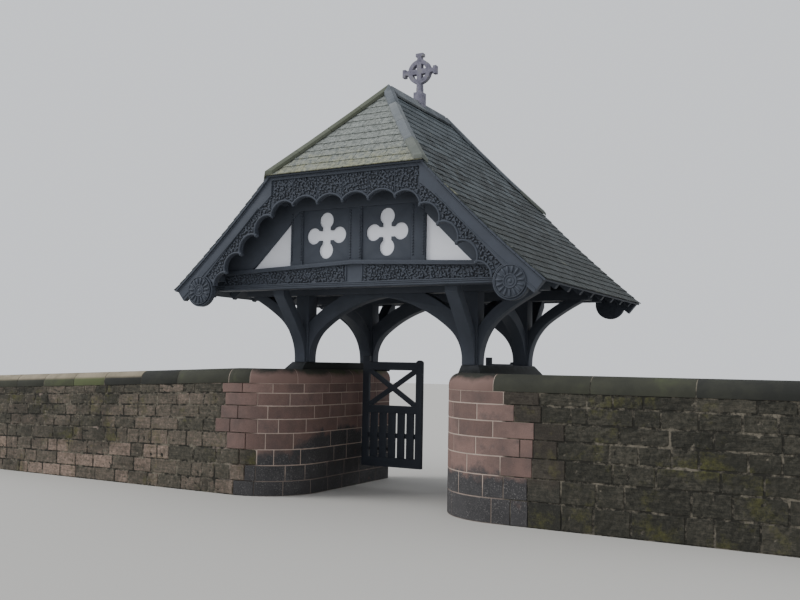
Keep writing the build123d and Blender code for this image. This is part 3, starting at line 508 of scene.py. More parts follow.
def finish_of(maker, *args):
    """The material a maker builds, built once."""
    key = (maker.__name__, *args)
    if key not in finishes:
        finishes[key] = maker(*args)
    return finishes[key]


def oak(way, shade=1.0, name="painted_oak"):
    """Painted oak with its grain along x, y, z, or across a carving."""
    grains = {"x": (5, 110, 110), "y": (110, 5, 110), "z": (110, 110, 5), "carved": (60, 60, 60)}
    return finish_of(painted_oak, f"{name}_{way}", grains[way], shade)


# Geometry-node trees
def new_tree(name, result, *inputs):
    """A geometry-node tree with named inputs, and the sockets that give them."""
    tree = bpy.data.node_groups.new(name, "GeometryNodeTree")
    for label, kind, default in (("Points", "Geometry", None), *inputs, ("Material", "Material", None)):
        made = tree.interface.new_socket(name=label, in_out="INPUT", socket_type=f"NodeSocket{kind}")
        if default is not None:
            made.default_value = default
    tree.interface.new_socket(name=result, in_out="OUTPUT", socket_type="NodeSocketGeometry")
    return tree, node(tree, "NodeGroupInput").outputs


def vector_of(tree, name):
    """A vector that the points or vertices carry."""
    return node(tree, "GeometryNodeInputNamedAttribute", {"Name": name}, data_type="FLOAT_VECTOR").outputs[0]


def copies(tree, given, shape, size):
    """A copy of a shape on every point, turned as the point says, as one mesh."""
    turn = node(tree, "FunctionNodeEulerToRotation", {0: vector_of(tree, "turn")}).outputs[0]
    inputs = {"Points": given["Points"], "Instance": shape, "Rotation": turn, "Scale": size}
    placed = node(tree, "GeometryNodeInstanceOnPoints", inputs).outputs[0]
    return node(tree, "GeometryNodeRealizeInstances", {0: placed}).outputs[0]


def finished_tree(tree, given, geometry):
    """End a tree: the geometry gets its material and goes out."""
    inputs = {"Geometry": geometry, "Material": given["Material"]}
    node(tree, "NodeGroupOutput", {0: node(tree, "GeometryNodeSetMaterial", inputs).outputs[0]})
    return tree


def block_tree():
    """Lays a rounded, rough-faced block on every point, as large as the point's size."""
    tree, given = new_tree(
        "Laid blocks",
        "Blocks",
        ("Cuts along", "Int", 8),
        ("Cuts through", "Int", 2),
        ("Cuts up", "Int", 5),
        ("Rounding", "Float", 0.006),
        ("Roughness", "Float", 0.004),
        ("Lump size", "Float", 0.08),
        ("Seed", "Int", 7),
    )
    cuts = [given[name] for name in ("Cuts along", "Cuts through", "Cuts up")]
    cube = node(tree, "GeometryNodeMeshCube", {f"Vertices {axis}": cut for axis, cut in zip("XYZ", cuts)})
    place = node(tree, "GeometryNodeInputPosition").outputs[0]
    marked = node(
        tree,
        "GeometryNodeStoreNamedAttribute",
        {"Geometry": cube.outputs["Mesh"], "Name": "unit", "Value": place},
        data_type="FLOAT_VECTOR",
        domain="POINT",
    ).outputs[0]
    size = vector_of(tree, "size")
    real = copies(tree, given, marked, size)
    unit = vector_of(tree, "unit")
    # the ring of cuts next to each edge moves out to the rounding's width
    half, ones, least = (0.5,) * 3, (1,) * 3, (0.05,) * 3
    rounding = node(tree, "ShaderNodeCombineXYZ", {axis: given["Rounding"] for axis in range(3)}).outputs[0]
    wanted = vectors("SUBTRACT", half, vectors("DIVIDE", rounding, size))
    spans = vectors("SUBTRACT", node(tree, "ShaderNodeCombineXYZ", dict(enumerate(cuts))).outputs[0], ones)
    ring = vectors("MAXIMUM", vectors("SUBTRACT", half, vectors("DIVIDE", ones, spans)), least)
    stretch = vectors("SUBTRACT", vectors("DIVIDE", wanted, ring), ones)
    inner = vectors("CEIL", vectors("SUBTRACT", (0.499,) * 3, vectors("ABSOLUTE", unit)))
    shift = vectors("MULTIPLY", vectors("MULTIPLY", unit, inner), vectors("MULTIPLY", stretch, size))
    moved = node(tree, "GeometryNodeSetPosition", {"Geometry": real, "Offset": shift}).outputs[0]
    # edges drop back by the rounding, and faces carry lumps
    edge = less(1.0, times(part(inner, 0), part(inner, 2)))
    lump = node(
        tree,
        "ShaderNodeTexNoise",
        {
            "Vector": place,
            "W": times(given["Seed"], 3.7),
            "Scale": maths("DIVIDE", 1.0, given["Lump size"]),
            "Detail": 3.0,
        },
        noise_dimensions="4D",
    ).outputs[0]
    proud = times(times(less(lump, 0.62), given["Roughness"]), 2.0)
    depth = times(maths("SIGN", part(unit, 1)), less(proud, times(edge, given["Rounding"])))
    offset = node(tree, "ShaderNodeCombineXYZ", {1: depth}).outputs[0]
    rough = node(tree, "GeometryNodeSetPosition", {"Geometry": moved, "Offset": offset}).outputs[0]
    return finished_tree(tree, given, rough)


def ornament_tree():
    """Sets a copy of one ornament on every point, turned and sized as the point says."""
    tree, given = new_tree(
        "Set-out ornaments",
        "Ornaments",
        ("Ornament", "Object", None),
        ("Uneven", "Float", 0.1),
        ("Seed", "Int", 3),
    )
    limits = {2: less(1.0, given["Uneven"]), 3: plus(1.0, given["Uneven"]), "Seed": given["Seed"]}
    factor = node(tree, "FunctionNodeRandomValue", limits, data_type="FLOAT").outputs[1]
    inputs = {0: vector_of(tree, "size"), "Scale": factor}
    size = node(tree, "ShaderNodeVectorMath", inputs, operation="SCALE").outputs[0]
    shape = node(tree, "GeometryNodeObjectInfo", {"Object": given["Ornament"]}).outputs["Geometry"]
    return finished_tree(tree, given, copies(tree, given, shape, size))


trees = {}


def set_out(maker, places, sizes, inputs, turns=None, **values):
    """Run a geometry-node tree on points and return the plain mesh it makes."""
    if maker not in trees:
        trees[maker] = maker()
    mesh = bpy.data.meshes.new("points")
    mesh.from_pydata([tuple(p) for p in places], [], [])
    store(mesh, "size", sizes, "FLOAT_VECTOR", "vector")
    store(mesh, "turn", np.zeros((len(places), 3)) if turns is None else turns, "FLOAT_VECTOR", "vector")
    for name, data in values.items():
        store(mesh, name, data)
    holder = bpy.data.objects.new("points", mesh)
    bpy.context.scene.collection.objects.link(holder)
    modifier = holder.modifiers.new("layout", "NODES")
    modifier.node_group = trees[maker]
    for item in trees[maker].interface.items_tree:
        if item.in_out == "INPUT" and item.name in inputs:
            modifier[item.identifier] = inputs[item.name]
    made = bpy.data.meshes.new_from_object(holder.evaluated_get(bpy.context.evaluated_depsgraph_get()))
    bpy.data.objects.remove(holder)
    bpy.data.meshes.remove(mesh)
    if not made.polygons:
        raise RuntimeError("the geometry-node tree made nothing")
    return made


# Meshes
def store(mesh, name, data, kind="FLOAT", field="value"):
    """Put an array on the vertices of a mesh, under a name."""
    layer = mesh.attributes.get(name) or mesh.attributes.new(name, kind, "POINT")
    layer.data.foreach_set(field, np.asarray(data, float).ravel())


def read(mesh, name, width=1, field="value"):
    """A named array that the vertices of a mesh carry."""
    data = np.empty(len(mesh.vertices) * width)
    mesh.attributes[name].data.foreach_get(field, data)
    return data if width == 1 else data.reshape(-1, width)


def coordinates(mesh):
    """All vertex places of a mesh as an array."""
    data = np.empty(len(mesh.vertices) * 3)
    mesh.vertices.foreach_get("co", data)
    return data.reshape(-1, 3)


def settle(mesh, places=None):
    """Move every vertex of a laid mesh to its last place, and drop the working values."""
    if places is not None:
        mesh.vertices.foreach_set("co", np.asarray(places, float).ravel())
        mesh.update()
    for name in ("unit", "size", "turn"):
        if name in mesh.attributes:
            mesh.attributes.remove(mesh.attributes[name])
    return mesh


def trimmed(mesh, cuts=()):
    """Cut a mesh back to some planes and turn its faces outwards."""
    shape = bmesh.new()
    shape.from_mesh(mesh)
    for point, normal in cuts:
        halved(shape, point, normal)
    bmesh.ops.recalc_face_normals(shape, faces=shape.faces)
    shape.to_mesh(mesh)
    shape.free()
    return mesh


def show(name, mesh, material, body=ROOT, replaces=(), smooth=None):
    """A finished piece: its mesh, material and body, and the nodes it stands for."""
    if smooth is not None:
        mesh.shade_smooth()
        mesh.set_sharp_from_angle(angle=radians(smooth))
    mesh.name = name
    piece = bpy.data.objects.new(name, mesh)
    bpy.context.scene.collection.objects.link(piece)
    mesh.materials.clear()
    mesh.materials.append(material)
    if replaces:
        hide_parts(*replaces)
    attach(piece, body)
    return piece


def hoops(count, sides, closed=False):
    """Faces from each ring of vertices to the next."""
    faces = []
    for i in range(count if closed else count - 1):
        ahead = sides if i < count - 1 else (1 - count) * sides
        for k in range(sides):
            a, b = i * sides + k, i * sides + (k + 1) % sides
            faces.append((a, b, b + ahead, a + ahead))
    return faces


class Heap:
    """Vertices and faces of one piece as it grows, with values for each vertex."""

    def __init__(self):
        self.verts, self.faces, self.values = [], [], {}

    def add(self, verts, faces, **values):
        start = len(self.verts)
        self.verts.extend(tuple(v) for v in verts)
        self.faces.extend([start + i for i in f] for f in faces)
        for name, value in values.items():
            own = [value] * len(verts) if isinstance(value, (int, float)) else [float(v) for v in value]
            held = self.values.setdefault(name, [])
            held.extend([0.0] * (start - len(held)) + own)

    def add_shape(self, shape, **values):
        """Take in a shape, which is freed."""
        shape.verts.index_update()
        self.add([v.co for v in shape.verts], [[v.index for v in f.verts] for f in shape.faces], **values)
        shape.free()

    def add_mesh(self, mesh, places=None, **values):
        """Take in a mesh, which is removed, with its vertices at other places if they are given."""
        if "sunk" in mesh.attributes:
            values["sunk"] = read(mesh, "sunk")
        places = coordinates(mesh) if places is None else places
        self.add(places, [tuple(p.vertices) for p in mesh.polygons], **values)
        bpy.data.meshes.remove(mesh)

    def add_bar(self, path, radius, sides=8, closed=False):
        """A round bar along a path that lies across Y."""
        path, normal = [Vector(p) for p in path], Vector((0, 1, 0))
        count = len(path)
        verts = []
        for i, point in enumerate(path):
            ahead = path[(i + 1) % count] if closed or i < count - 1 else point
            behind = path[i - 1] if closed or i > 0 else point
            across = (ahead - behind).normalized().cross(normal).normalized()
            for angle in (2 * pi * k / sides for k in range(sides)):
                verts.append(point + across * (radius * cos(angle)) + normal * (radius * sin(angle)))
        faces = hoops(count, sides, closed)
        if not closed:
            faces.append(tuple(range(sides))[::-1])
            faces.append(tuple((count - 1) * sides + k for k in range(sides)))
        self.add(verts, faces)

    def add_ball(self, centre, radius, depth, rings=5, sides=10):
        """A round knob, radius across and depth out along Y."""
        x, y, z = centre
        verts = []
        for i in range(1, rings):
            angle = pi * i / rings
            for turn in (2 * pi * k / sides for k in range(sides)):
                reach = radius * sin(angle)
                verts.append((x + reach * cos(turn), y - depth * cos(angle), z + reach * sin(turn)))
        verts += [(x, y - depth, z), (x, y + depth, z)]
        last = (rings - 1) * sides
        faces = hoops(rings - 1, sides)
        for k in range(sides):
            faces.append((last, (k + 1) % sides, k))
            faces.append((last + 1, last - sides + k, last - sides + (k + 1) % sides))
        self.add(verts, faces)

    def mesh(self, recalculate=False):
        made = bpy.data.meshes.new("piece")
        made.from_pydata(self.verts, [], self.faces)
        for name, data in self.values.items():
            store(made, name, data + [0.0] * (len(self.verts) - len(data)))
        made.update()
        return trimmed(made) if recalculate else made


def plain(shape):
    """The mesh of a shape."""
    heap = Heap()
    heap.add_shape(shape)
    return heap.mesh()


def merged(name):
    """A CAD node's shape, its loose triangles joined and its flat faces made whole."""
    shape = bmesh.new()
    shape.from_mesh(nodes[name].data)
    bmesh.ops.remove_doubles(shape, verts=shape.verts, dist=2e-5)
    bmesh.ops.dissolve_limit(
        shape, angle_limit=radians(1.2), verts=shape.verts, edges=shape.edges, use_dissolve_boundaries=False
    )
    return shape


def bevelled(shape, width, segments=2, angle=35):
    """Round the sharp edges of a shape."""
    edges = [
        e
        for e in shape.edges
        if len(e.link_faces) == 2 and e.calc_face_angle(0) > radians(angle) and e.calc_length() > width
    ]
    bmesh.ops.bevel(
        shape,
        geom=edges,
        offset=width,
        offset_type="OFFSET",
        segments=segments,
        profile=0.6,
        affect="EDGES",
        clamp_overlap=True,
    )
    return shape


def halved(shape, point, normal):
    """Keep what lies behind a plane, and close the cut."""
    cut = bmesh.ops.bisect_plane(
        shape,
        geom=shape.verts[:] + shape.edges[:] + shape.faces[:],
        dist=1e-6,
        plane_co=point,
        plane_no=normal,
        clear_outer=True,
    )
    edges = [e for e in cut["geom_cut"] if isinstance(e, bmesh.types.BMEdge) and e.is_valid and e.is_boundary]
    if edges:
        bmesh.ops.holes_fill(shape, edges=edges, sides=0)
    return shape


def softened(name, width, material, body=ROOT, angle=35, segments=2, shape=None):
    """A CAD node, or a shape drawn from it, with worn edges in place of sharp ones."""
    shape = merged(name) if shape is None else shape
    mesh = plain(bevelled(shape, width, segments, angle))
    return show(f"{name}_dressed", mesh, material, body, (name,), smooth=40)


# Curves that the frame's roof and boards follow
def circle_through(a, b, c):
    """Centre and radius of the circle through three points."""
    d = 2 * (a[0] * (b[1] - c[1]) + b[0] * (c[1] - a[1]) + c[0] * (a[1] - b[1]))
    aa, bb, cc = (p[0] ** 2 + p[1] ** 2 for p in (a, b, c))
    x = (aa * (b[1] - c[1]) + bb * (c[1] - a[1]) + cc * (a[1] - b[1])) / d
    z = (aa * (c[0] - b[0]) + bb * (a[0] - c[0]) + cc * (b[0] - a[0])) / d
    return x, z, hypot(a[0] - x, a[1] - z)


curve_x, curve_z, curve_radius = circle_through(
    (eaves_half, eaves_height), (curve_half, curve_height), (0, ridge_height)
)
eaves_angle = atan2(eaves_height - curve_z, eaves_half - curve_x)
hip_angle = atan2(ridge_height - curve_height, hip_eaves_y - ridge_half)
hip_length = hypot(hip_eaves_y - ridge_half, ridge_height - curve_height)


def on_slope(depth, along):
    """Point of the right slope, depth below its face and along up from the eaves tip."""
    angle = eaves_angle - np.asarray(along) / curve_radius
    reach = curve_radius + np.asarray(depth)
    return curve_x + reach * np.cos(angle), curve_z + reach * np.sin(angle)


def point_on_slope(depth, along):
    """The same for one point, as two plain numbers."""
    return tuple(float(v) for v in on_slope(depth, along))


def apex_along(depth):
    """How far up the slope a layer reaches the ridge line."""
    return (eaves_angle - (acos(curve_x / (curve_radius + depth)) - pi)) * curve_radius


def hip_height(depth, y):
    """Height of a layer of the half-hip at the distance y."""
    return ridge_height - (y - ridge_half) * tan(hip_angle) - depth / cos(hip_angle)


def on_hip(depth, along):
    """Distance and height of a half-hip's layer, depth below its face and along up from its eaves."""
    y = hip_eaves_y - along * cos(hip_angle) - depth * sin(hip_angle)
    return y, curve_height + along * sin(hip_angle) - depth * cos(hip_angle)


def hip_line(row_sign, side):
    """Top and foot of the line where a half-hip meets a long slope."""
    top = Vector((0, row_sign * ridge_half, ridge_height))
    return top, Vector((side * curve_half, row_sign * hip_eaves_y, curve_height))


def arc_through(start, end, hollow, count, grow=0.0):
    """Points of a hollow arc that rises to the left of the way from start to end."""
    run_x, run_z = end[0] - start[0], end[1] - start[1]
    length = hypot(run_x, run_z)
    middle = (
        (start[0] + end[0]) / 2 - run_z / length * hollow,
        (start[1] + end[1]) / 2 + run_x / length * hollow,
    )
    cx, cz, radius = circle_through(start, middle, end)
    a, m, b = (atan2(z - cz, x - cx) for x, z in (start, middle, end))
    # both ends within half a turn of the middle
    a, b = (angle + 2 * pi * round((m - angle) / (2 * pi)) for angle in (a, b))
    return [
        (cx + (radius + grow) * cos(a + (b - a) * t), cz + (radius + grow) * sin(a + (b - a) * t))
        for t in np.linspace(0, 1, count)
    ]


# Walls. A run along a wall starts at the back end of the passage.
arc_length = corner_radius * pi / 2
back_radius = corner_radius - wall_thick
back_arc = back_radius * pi / 2
middle_radius = corner_radius - wall_thick / 2
middle_arc = middle_radius * pi / 2
corner_x = passage_half + corner_radius
corner_y = corner_radius - road_face
straight = wall_back - corner_y
boundary = wall_end - corner_x
# height of each course from the top, and the joints that the photo shows on the rounded corner
corner_courses = {
    "right": (
        (0.142, (2.744, 3.339)),
        (0.184, (3.013, 3.469)),
        (0.184, (2.713, 3.217, 3.70)),
        (0.198, (3.001, 3.537, 3.688)),
        (0.213, (2.872, 3.308, 3.678)),
        (0.248, (2.723, 3.099, 3.348, 3.626)),
        (0.278, (2.55, 3.207, 3.432, 3.634)),
    ),
    "left": (
        (0.127, (1.672, 2.199, 2.632, 3.041, 3.363)),
        (0.165, (1.836, 2.402, 2.827, 3.311)),
        (0.172, (2.009, 2.690, 3.099, 3.379)),
        (0.180, (1.455, 2.152, 2.547, 2.819, 3.220, 3.467)),
        (0.210, (1.614, 2.341, 2.712, 2.976, 3.269)),
        (0.202, (1.523, 2.229, 2.599, 2.816)),
        (0.202, (2.152, 2.443, 2.830, 2.978)),
        (0.189, (2.05, 2.468, 2.847, 3.138)),
    ),
}
coping_joints = {
    "right": (0.55, 1.1, 1.66, 2.24, 2.862, 3.962, 5.036, 6.1),
    "left": (0.5, 1.05, 1.62, 2.19, 2.654, 2.905, 3.804, 4.471, 5.182, 5.81, 6.448, 7.05),
}


def split_run(start, end, usual, spread, chance):
    """Ends of stones of about the usual length between two places."""
    count = max(1, round((end - start) / usual))
    parts = chance.uniform(1 - spread, 1 + spread, count)
    return list(start + (end - start) * np.cumsum(parts) / parts.sum())


def bent(place, sign, fall, face):
    """Wrap (run, depth, height) along a wall's road face or back face."""
    run, depth, height = place[:, 0], place[:, 1], place[:, 2]
    radius = corner_radius if face == "road" else back_radius
    arc = radius * pi / 2
    reach = radius - (depth if face == "road" else -depth)
    angle = np.clip((run - straight) / radius, 0, pi / 2)
    x = corner_x - reach * np.cos(angle)
    y = corner_y - reach * np.sin(angle)
    y = np.where(run < straight, y + straight - run, y)
    x = np.where(run > straight + arc, x + run - straight - arc, x)
    share = np.clip((x - corner_x) / boundary, 0, 1)
    return np.stack([sign * x, y, height * (wall_top - fall * share) / wall_top], 1)


def lay_courses(side, face, seed):
    """Stones of one face of a wall: centres, sizes and the tone and finish of each."""
    stone = bpy.context.scene.lychgate_stonework
    chance = np.random.default_rng(seed)
    road, right = face == "road", side == "right"
    length = straight + (arc_length if road else back_arc) + boundary
    rubble = stone.rubble * (1.25 if right else 0.95)
    courses = corner_courses[side]
    stones = []
    top = wall_top
    for row, (height, joints) in enumerate(courses):
        low = max(top - height, 0.0) if row < len(courses) - 1 else 0.0
        tooth = 0.0
        if road:
            tooth = joints[-1]
            ends = split_run(0.0, joints[0], stone.ashlar * 1.2, 0.2, chance) + list(joints[1:])
            stones += [(start, end, low, top, 0.0) for start, end in zip([0.0, *ends[:-1]], ends)]
            if right:
                # one more smooth stone before the hewn ones, already blackened
                start, tooth = tooth, tooth + chance.uniform(0.2, 0.42)
                stones.append((start, tooth, low, top, 0.9))
        bands = [(low, top)]
        if top - low > 0.24 and not right:
            middle = low + (top - low) * chance.uniform(0.45, 0.55)
            bands = [(low, middle), (middle, top)]
        for bottom, above in bands:
            ends = split_run(tooth, length, rubble, 0.45, chance)
            stones += [(start, end, bottom, above, 1.0) for start, end in zip([tooth, *ends[:-1]], ends)]
        top = low
    centres, sizes, tones, finish = [], [], [], []
    for start, end, bottom, above, hewn in stones:
        through = start < 0.01 or end > length - 0.01
        if through and not road:
            continue
        thick = wall_thick if through else 0.11
        joint = stone.joint * (1.05 if hewn else 0.9)
        centres.append(((start + end) / 2, thick / 2, (bottom + above) / 2))
        sizes.append((end - start - joint, thick, above - bottom - joint))
        tone = chance.uniform()
        if hewn and right:
            tone *= 0.25
        elif hewn:
            # the left boundary is less black, and palest low down and far off
            tone = 0.25 + 0.5 * tone + (0.28 if start > 4.2 and above < 0.8 else 0)
        tones.append(tone)
        finish.append(hewn)
    return np.array(centres), np.array(sizes), np.array(tones), np.array(finish)


def wall_core(side, sign, fall):
    """The mortar of a wall: its plan drawn in a little, up to the coping, deeper in the hewn stone."""
    flush, deep = 0.0045, 0.009
    corner = straight + arc_length
    tooth = min(joints[-1] for height, joints in corner_courses[side])
    stops = [0.0, straight, *np.linspace(straight, corner, 25)[1:]]
    stops += list(np.linspace(tooth - 0.01, corner + boundary, 40))
    stops = sorted(s for s in stops if s <= tooth - 0.01 or s > corner)
    road = [(s, flush if s < tooth else deep, wall_top) for s in stops]
    back = [0.0, straight, *np.linspace(straight, straight + back_arc, 25)[1:]]
    back += list(np.linspace(straight + back_arc, straight + back_arc + boundary, 13)[1:])
    road = bent(np.array(road), sign, fall, "road")
    back = bent(np.array([(s, deep, wall_top) for s in back]), sign, fall, "back")
    outline = [Vector(p) for p in (*road, *back[::-1])]
    for place in (0, -1):
        outline[place].y -= flush
    for place in (len(road) - 1, len(road)):
        outline[place].x -= sign * deep
    shape = bmesh.new()
    bottom = shape.faces.new([shape.verts.new((p.x, p.y, 0.0)) for p in outline])
    for vert in bmesh.ops.extrude_face_region(shape, geom=[bottom])["geom"]:
        if isinstance(vert, bmesh.types.BMVert):
            vert.co.z = min(outline, key=lambda p: (p.x - vert.co.x) ** 2 + (p.y - vert.co.y) ** 2).z
    bmesh.ops.triangulate(shape, faces=[f for f in shape.faces if len(f.verts) > 4])
    bmesh.ops.recalc_face_normals(shape, faces=shape.faces)
    mesh = plain(shape)
    across, along = np.abs(coordinates(mesh)[:, 0]), coordinates(mesh)[:, 1]
    turning = (across < corner_x) & (along < corner_y)
    on_road = (along < -road_face + 0.1) | (across < passage_half + 0.1)
    on_road |= turning & (np.hypot(across - corner_x, along - corner_y) > corner_radius - 0.1)
    hewn = np.clip((across - corner_x - (tooth - corner)) / 0.2 + 0.5, 0, 1)
    store(mesh, "hewn", np.where(on_road, hewn, 1.0) * (1.0 if side == "right" else 0.7))
    return mesh


def build_walls():
    """Both walls, as coursed stones set in mortar."""
    smooth = {"Cuts along": 9, "Cuts up": 5, "Rounding": 0.005, "Roughness": 0.003, "Lump size": 0.2}
    rough = {"Cuts along": 12, "Cuts up": 7, "Rounding": 0.01, "Roughness": 0.02, "Lump size": 0.07}
    for side, sign, fall, seed in (("right", 1, 0.0, 21), ("left", -1, left_fall, 34)):
        heap = Heap()
        for face in ("road", "back"):
            centres, sizes, tones, finish = lay_courses(side, face, seed + len(face))
            for cut, pick in ((smooth, finish < 1), (rough, finish == 1)):
                if not pick.any():
                    continue
                inputs = {"Cuts through": 2, "Seed": seed, "Material": finish_of(sandstone), **cut}
                mesh = set_out(
                    block_tree, centres[pick], sizes[pick], inputs, tone=tones[pick], hewn=finish[pick]
                )
                place = coordinates(mesh)
                place[:, 1] = np.maximum(place[:, 1], 0.0005)
                # dark crust on the lowest courses; on the left wall it reaches higher towards the passage, and
                # there it is painted shade
                run = np.clip(place[:, 0], 0, straight + arc_length)
                crust_and_shade_top = 0.5 if side == "right" else 0.5 + 0.32 * np.clip((2.75 - run) / 0.8, 0, 1)
                heap.add_mesh(
                    mesh,
                    bent(place, sign, fall, face),
                    tone=read(mesh, "tone"),
                    hewn=read(mesh, "hewn"),
                    crust=np.clip((crust_and_shade_top - place[:, 2]) / 0.22 + 0.5, 0, 1),
                )
        stones = heap.mesh(recalculate=True)
        show(f"{side}_wall_stones", stones, finish_of(sandstone), replaces=(f"{side}_wall",))
        show(f"{side}_wall_mortar", wall_core(side, sign, fall), finish_of(mortar))


def route_plane(sign, run):
    """Point and forward direction on a wall's centre line at a run."""
    if run < straight:
        return Vector((sign * (passage_half + wall_thick / 2), wall_back - run, 0)), Vector((0, -1, 0))
    if run < straight + middle_arc:
        angle = (run - straight) / middle_radius
        point = (sign * (corner_x - middle_radius * cos(angle)), corner_y - middle_radius * sin(angle), 0)
        return Vector(point), Vector((sign * sin(angle), -cos(angle), 0))
    reach = run - straight - middle_arc
    return Vector((sign * (corner_x + reach), corner_y - middle_radius, 0)), Vector((sign, 0, 0))


def build_copings():
    """Coping stones, cut from the frame's bull-nosed run at their joints, and the mortar between."""
    gap = 0.004
    for side, sign in (("right", 1), ("left", -1)):
        left = side == "left"
        chance = np.random.default_rng(5)
        source = merged(f"{side}_coping")
        heap = Heap()
        stops = [None, *coping_joints[side], None]
        for start, end in zip(stops[:-1], stops[1:]):
            shape = source.copy()
            if start is not None:
                point, way = route_plane(sign, start)
                halved(shape, point + way * gap, -way)
            if end is not None:
                point, way = route_plane(sign, end)
                halved(shape, point - way * gap, way)
            bevelled(shape, 0.006, 2, 50)
            middle = ((start or 0) + (end or straight + middle_arc + boundary)) / 2
            moss = np.clip((middle - straight - middle_arc * 0.62) / 0.5, 0.16 if left else 0.0, 1)
            # painted sunlight: the far left stones get pale tops, as if lit by the sun
            pale = float(left and middle > 4.4)
            heap.add_shape(shape, tone=float(chance.uniform()), moss=float(moss), pale=pale)
        replaced = (f"{side}_coping",)
        stones = heap.mesh()
        show(f"{side}_coping_stones", stones, finish_of(coping_stone), ROOT, replaced, 40)
        for vert in source.verts:
            vert.normal_update()
        for vert, way in [(v, v.normal.copy()) for v in source.verts]:
            vert.co -= way * 0.003
        mesh = plain(source)
        store(mesh, "hewn", np.clip((np.abs(coordinates(mesh)[:, 0]) - corner_x) / 0.4, 0, 0.95))
        show(f"{side}_coping_mortar", mesh, finish_of(mortar))


# Roof
def lay_slates(length, gauge, seed, low_y, high_y):
    """Flat slating in (y, along, height above the boards), and the depth of each vertex below
    the roof's face, once every row lies on the last."""
    roof = bpy.context.scene.lychgate_roofing
    chance = np.random.default_rng(seed)
    centres, sizes, turns, tones, mosses = [], [], [], [], []
    long = gauge * 1.75
    for row in range(ceil(length / gauge) + 1):
        place = low_y - (roof.width * 0.5 if row % 2 else 0) - chance.uniform(0, 0.03)
        while place < high_y:
            width = roof.width * chance.uniform(0.75, 1.25)
            left, right = max(place, low_y), min(place + width, high_y)
            place += width
            if right - left < 0.03:
                continue
            drop = chance.normal(0, 0.003)
            centres.append(((left + right) / 2, row * gauge + long / 2 + drop - 0.004, 0))
            sizes.append((right - left - 0.004, long, roof.thickness))
            turns.append((chance.normal(0, 0.004), chance.normal(0, 0.006), chance.normal(0, 0.006)))
            tones.append(chance.uniform())
            mosses.append(chance.normal(0.0, 0.12))
    inputs = {"Cuts along": 3, "Cuts through": 3, "Cuts up": 2, "Rounding": 0.0025, "Roughness": 0.0}
    inputs.update({"Lump size": 0.05, "Seed": seed, "Material": finish_of(slating)})
    mesh = set_out(block_tree, centres, sizes, inputs, turns, tone=tones, moss=mosses)
    # a slate rises from the boards at its head to the roof's face at its tail
    tail = 0.5 - read(mesh, "unit", 3, "vector")[:, 1]
    depth = np.clip(slate_depth - slate_tilt * tail - coordinates(mesh)[:, 2], 0.0002, 0.05)
    return mesh, coordinates(mesh), depth


def slope_cuts(sign, lower):
    """Planes that cut a long slope's layer at the ridge line and back to both half-hips."""
    cuts = [(Vector((sign * 0.004, 0, 0)), Vector((-sign, 0, 0)))]
    for row_sign in (-1, 1):
        normal = Vector((0, row_sign * sin(hip_angle), cos(hip_angle)))
        cuts.append((hip_line(row_sign, 1)[0] - normal * lower, normal))
    return cuts


def hip_cuts(row_sign, lower):
    """Planes that cut a half-hip's layer back to both long slopes."""
    cuts = []
    for side in (-1, 1):
        top, foot = hip_line(row_sign, side)
        normal = (foot - top).cross(Vector((0, 1, 0)))
        normal = (normal if normal.z > 0 else -normal).normalized()
        cuts.append((top - normal * lower, normal))
    return cuts


def build_slopes():
    """Slates and boards of both long slopes, cut along the half-hips."""
    gauge = bpy.context.scene.lychgate_roofing.gauge
    length = apex_along(0)
    for side, sign, seed in (("right", 1, 51), ("left", -1, 63)):
        mesh, place, depth = lay_slates(length, gauge, seed, -verge_y + 0.003, verge_y - 0.003)
        x, z = on_slope(depth, np.clip(place[:, 1], 0.0, length + 0.3))
        settle(mesh, np.stack([sign * x, place[:, 0], z], 1))
        trimmed(mesh, slope_cuts(sign, -0.002))
        show(f"{side}_slates", mesh, finish_of(slating), replaces=(f"{side}_roof_slope",))
        # sawn boards under the slates, seen between the rafters
        count = ceil((length - 0.01) / roof_board)
        centres = [(0, 0.01 + (i + 0.5) * roof_board, 0) for i in range(count)]
        sizes = [(2 * verge_y - 0.004, roof_board - 0.004, 0.022)] * count
        inputs = {"Cuts along": 2, "Cuts through": 2, "Cuts up": 2, "Rounding": 0.0, "Roughness": 0.0}
        mesh = set_out(block_tree, centres, sizes, {**inputs, "Seed": 1, "Material": oak("y")})
        place = coordinates(mesh)
        x, z = on_slope(0.0388 - place[:, 2], np.clip(place[:, 1], 0.0, length))
        settle(mesh, np.stack([sign * x, place[:, 0], z], 1))
        show(f"{side}_roof_boards", trimmed(mesh, slope_cuts(sign, 0.027)), oak("y"))


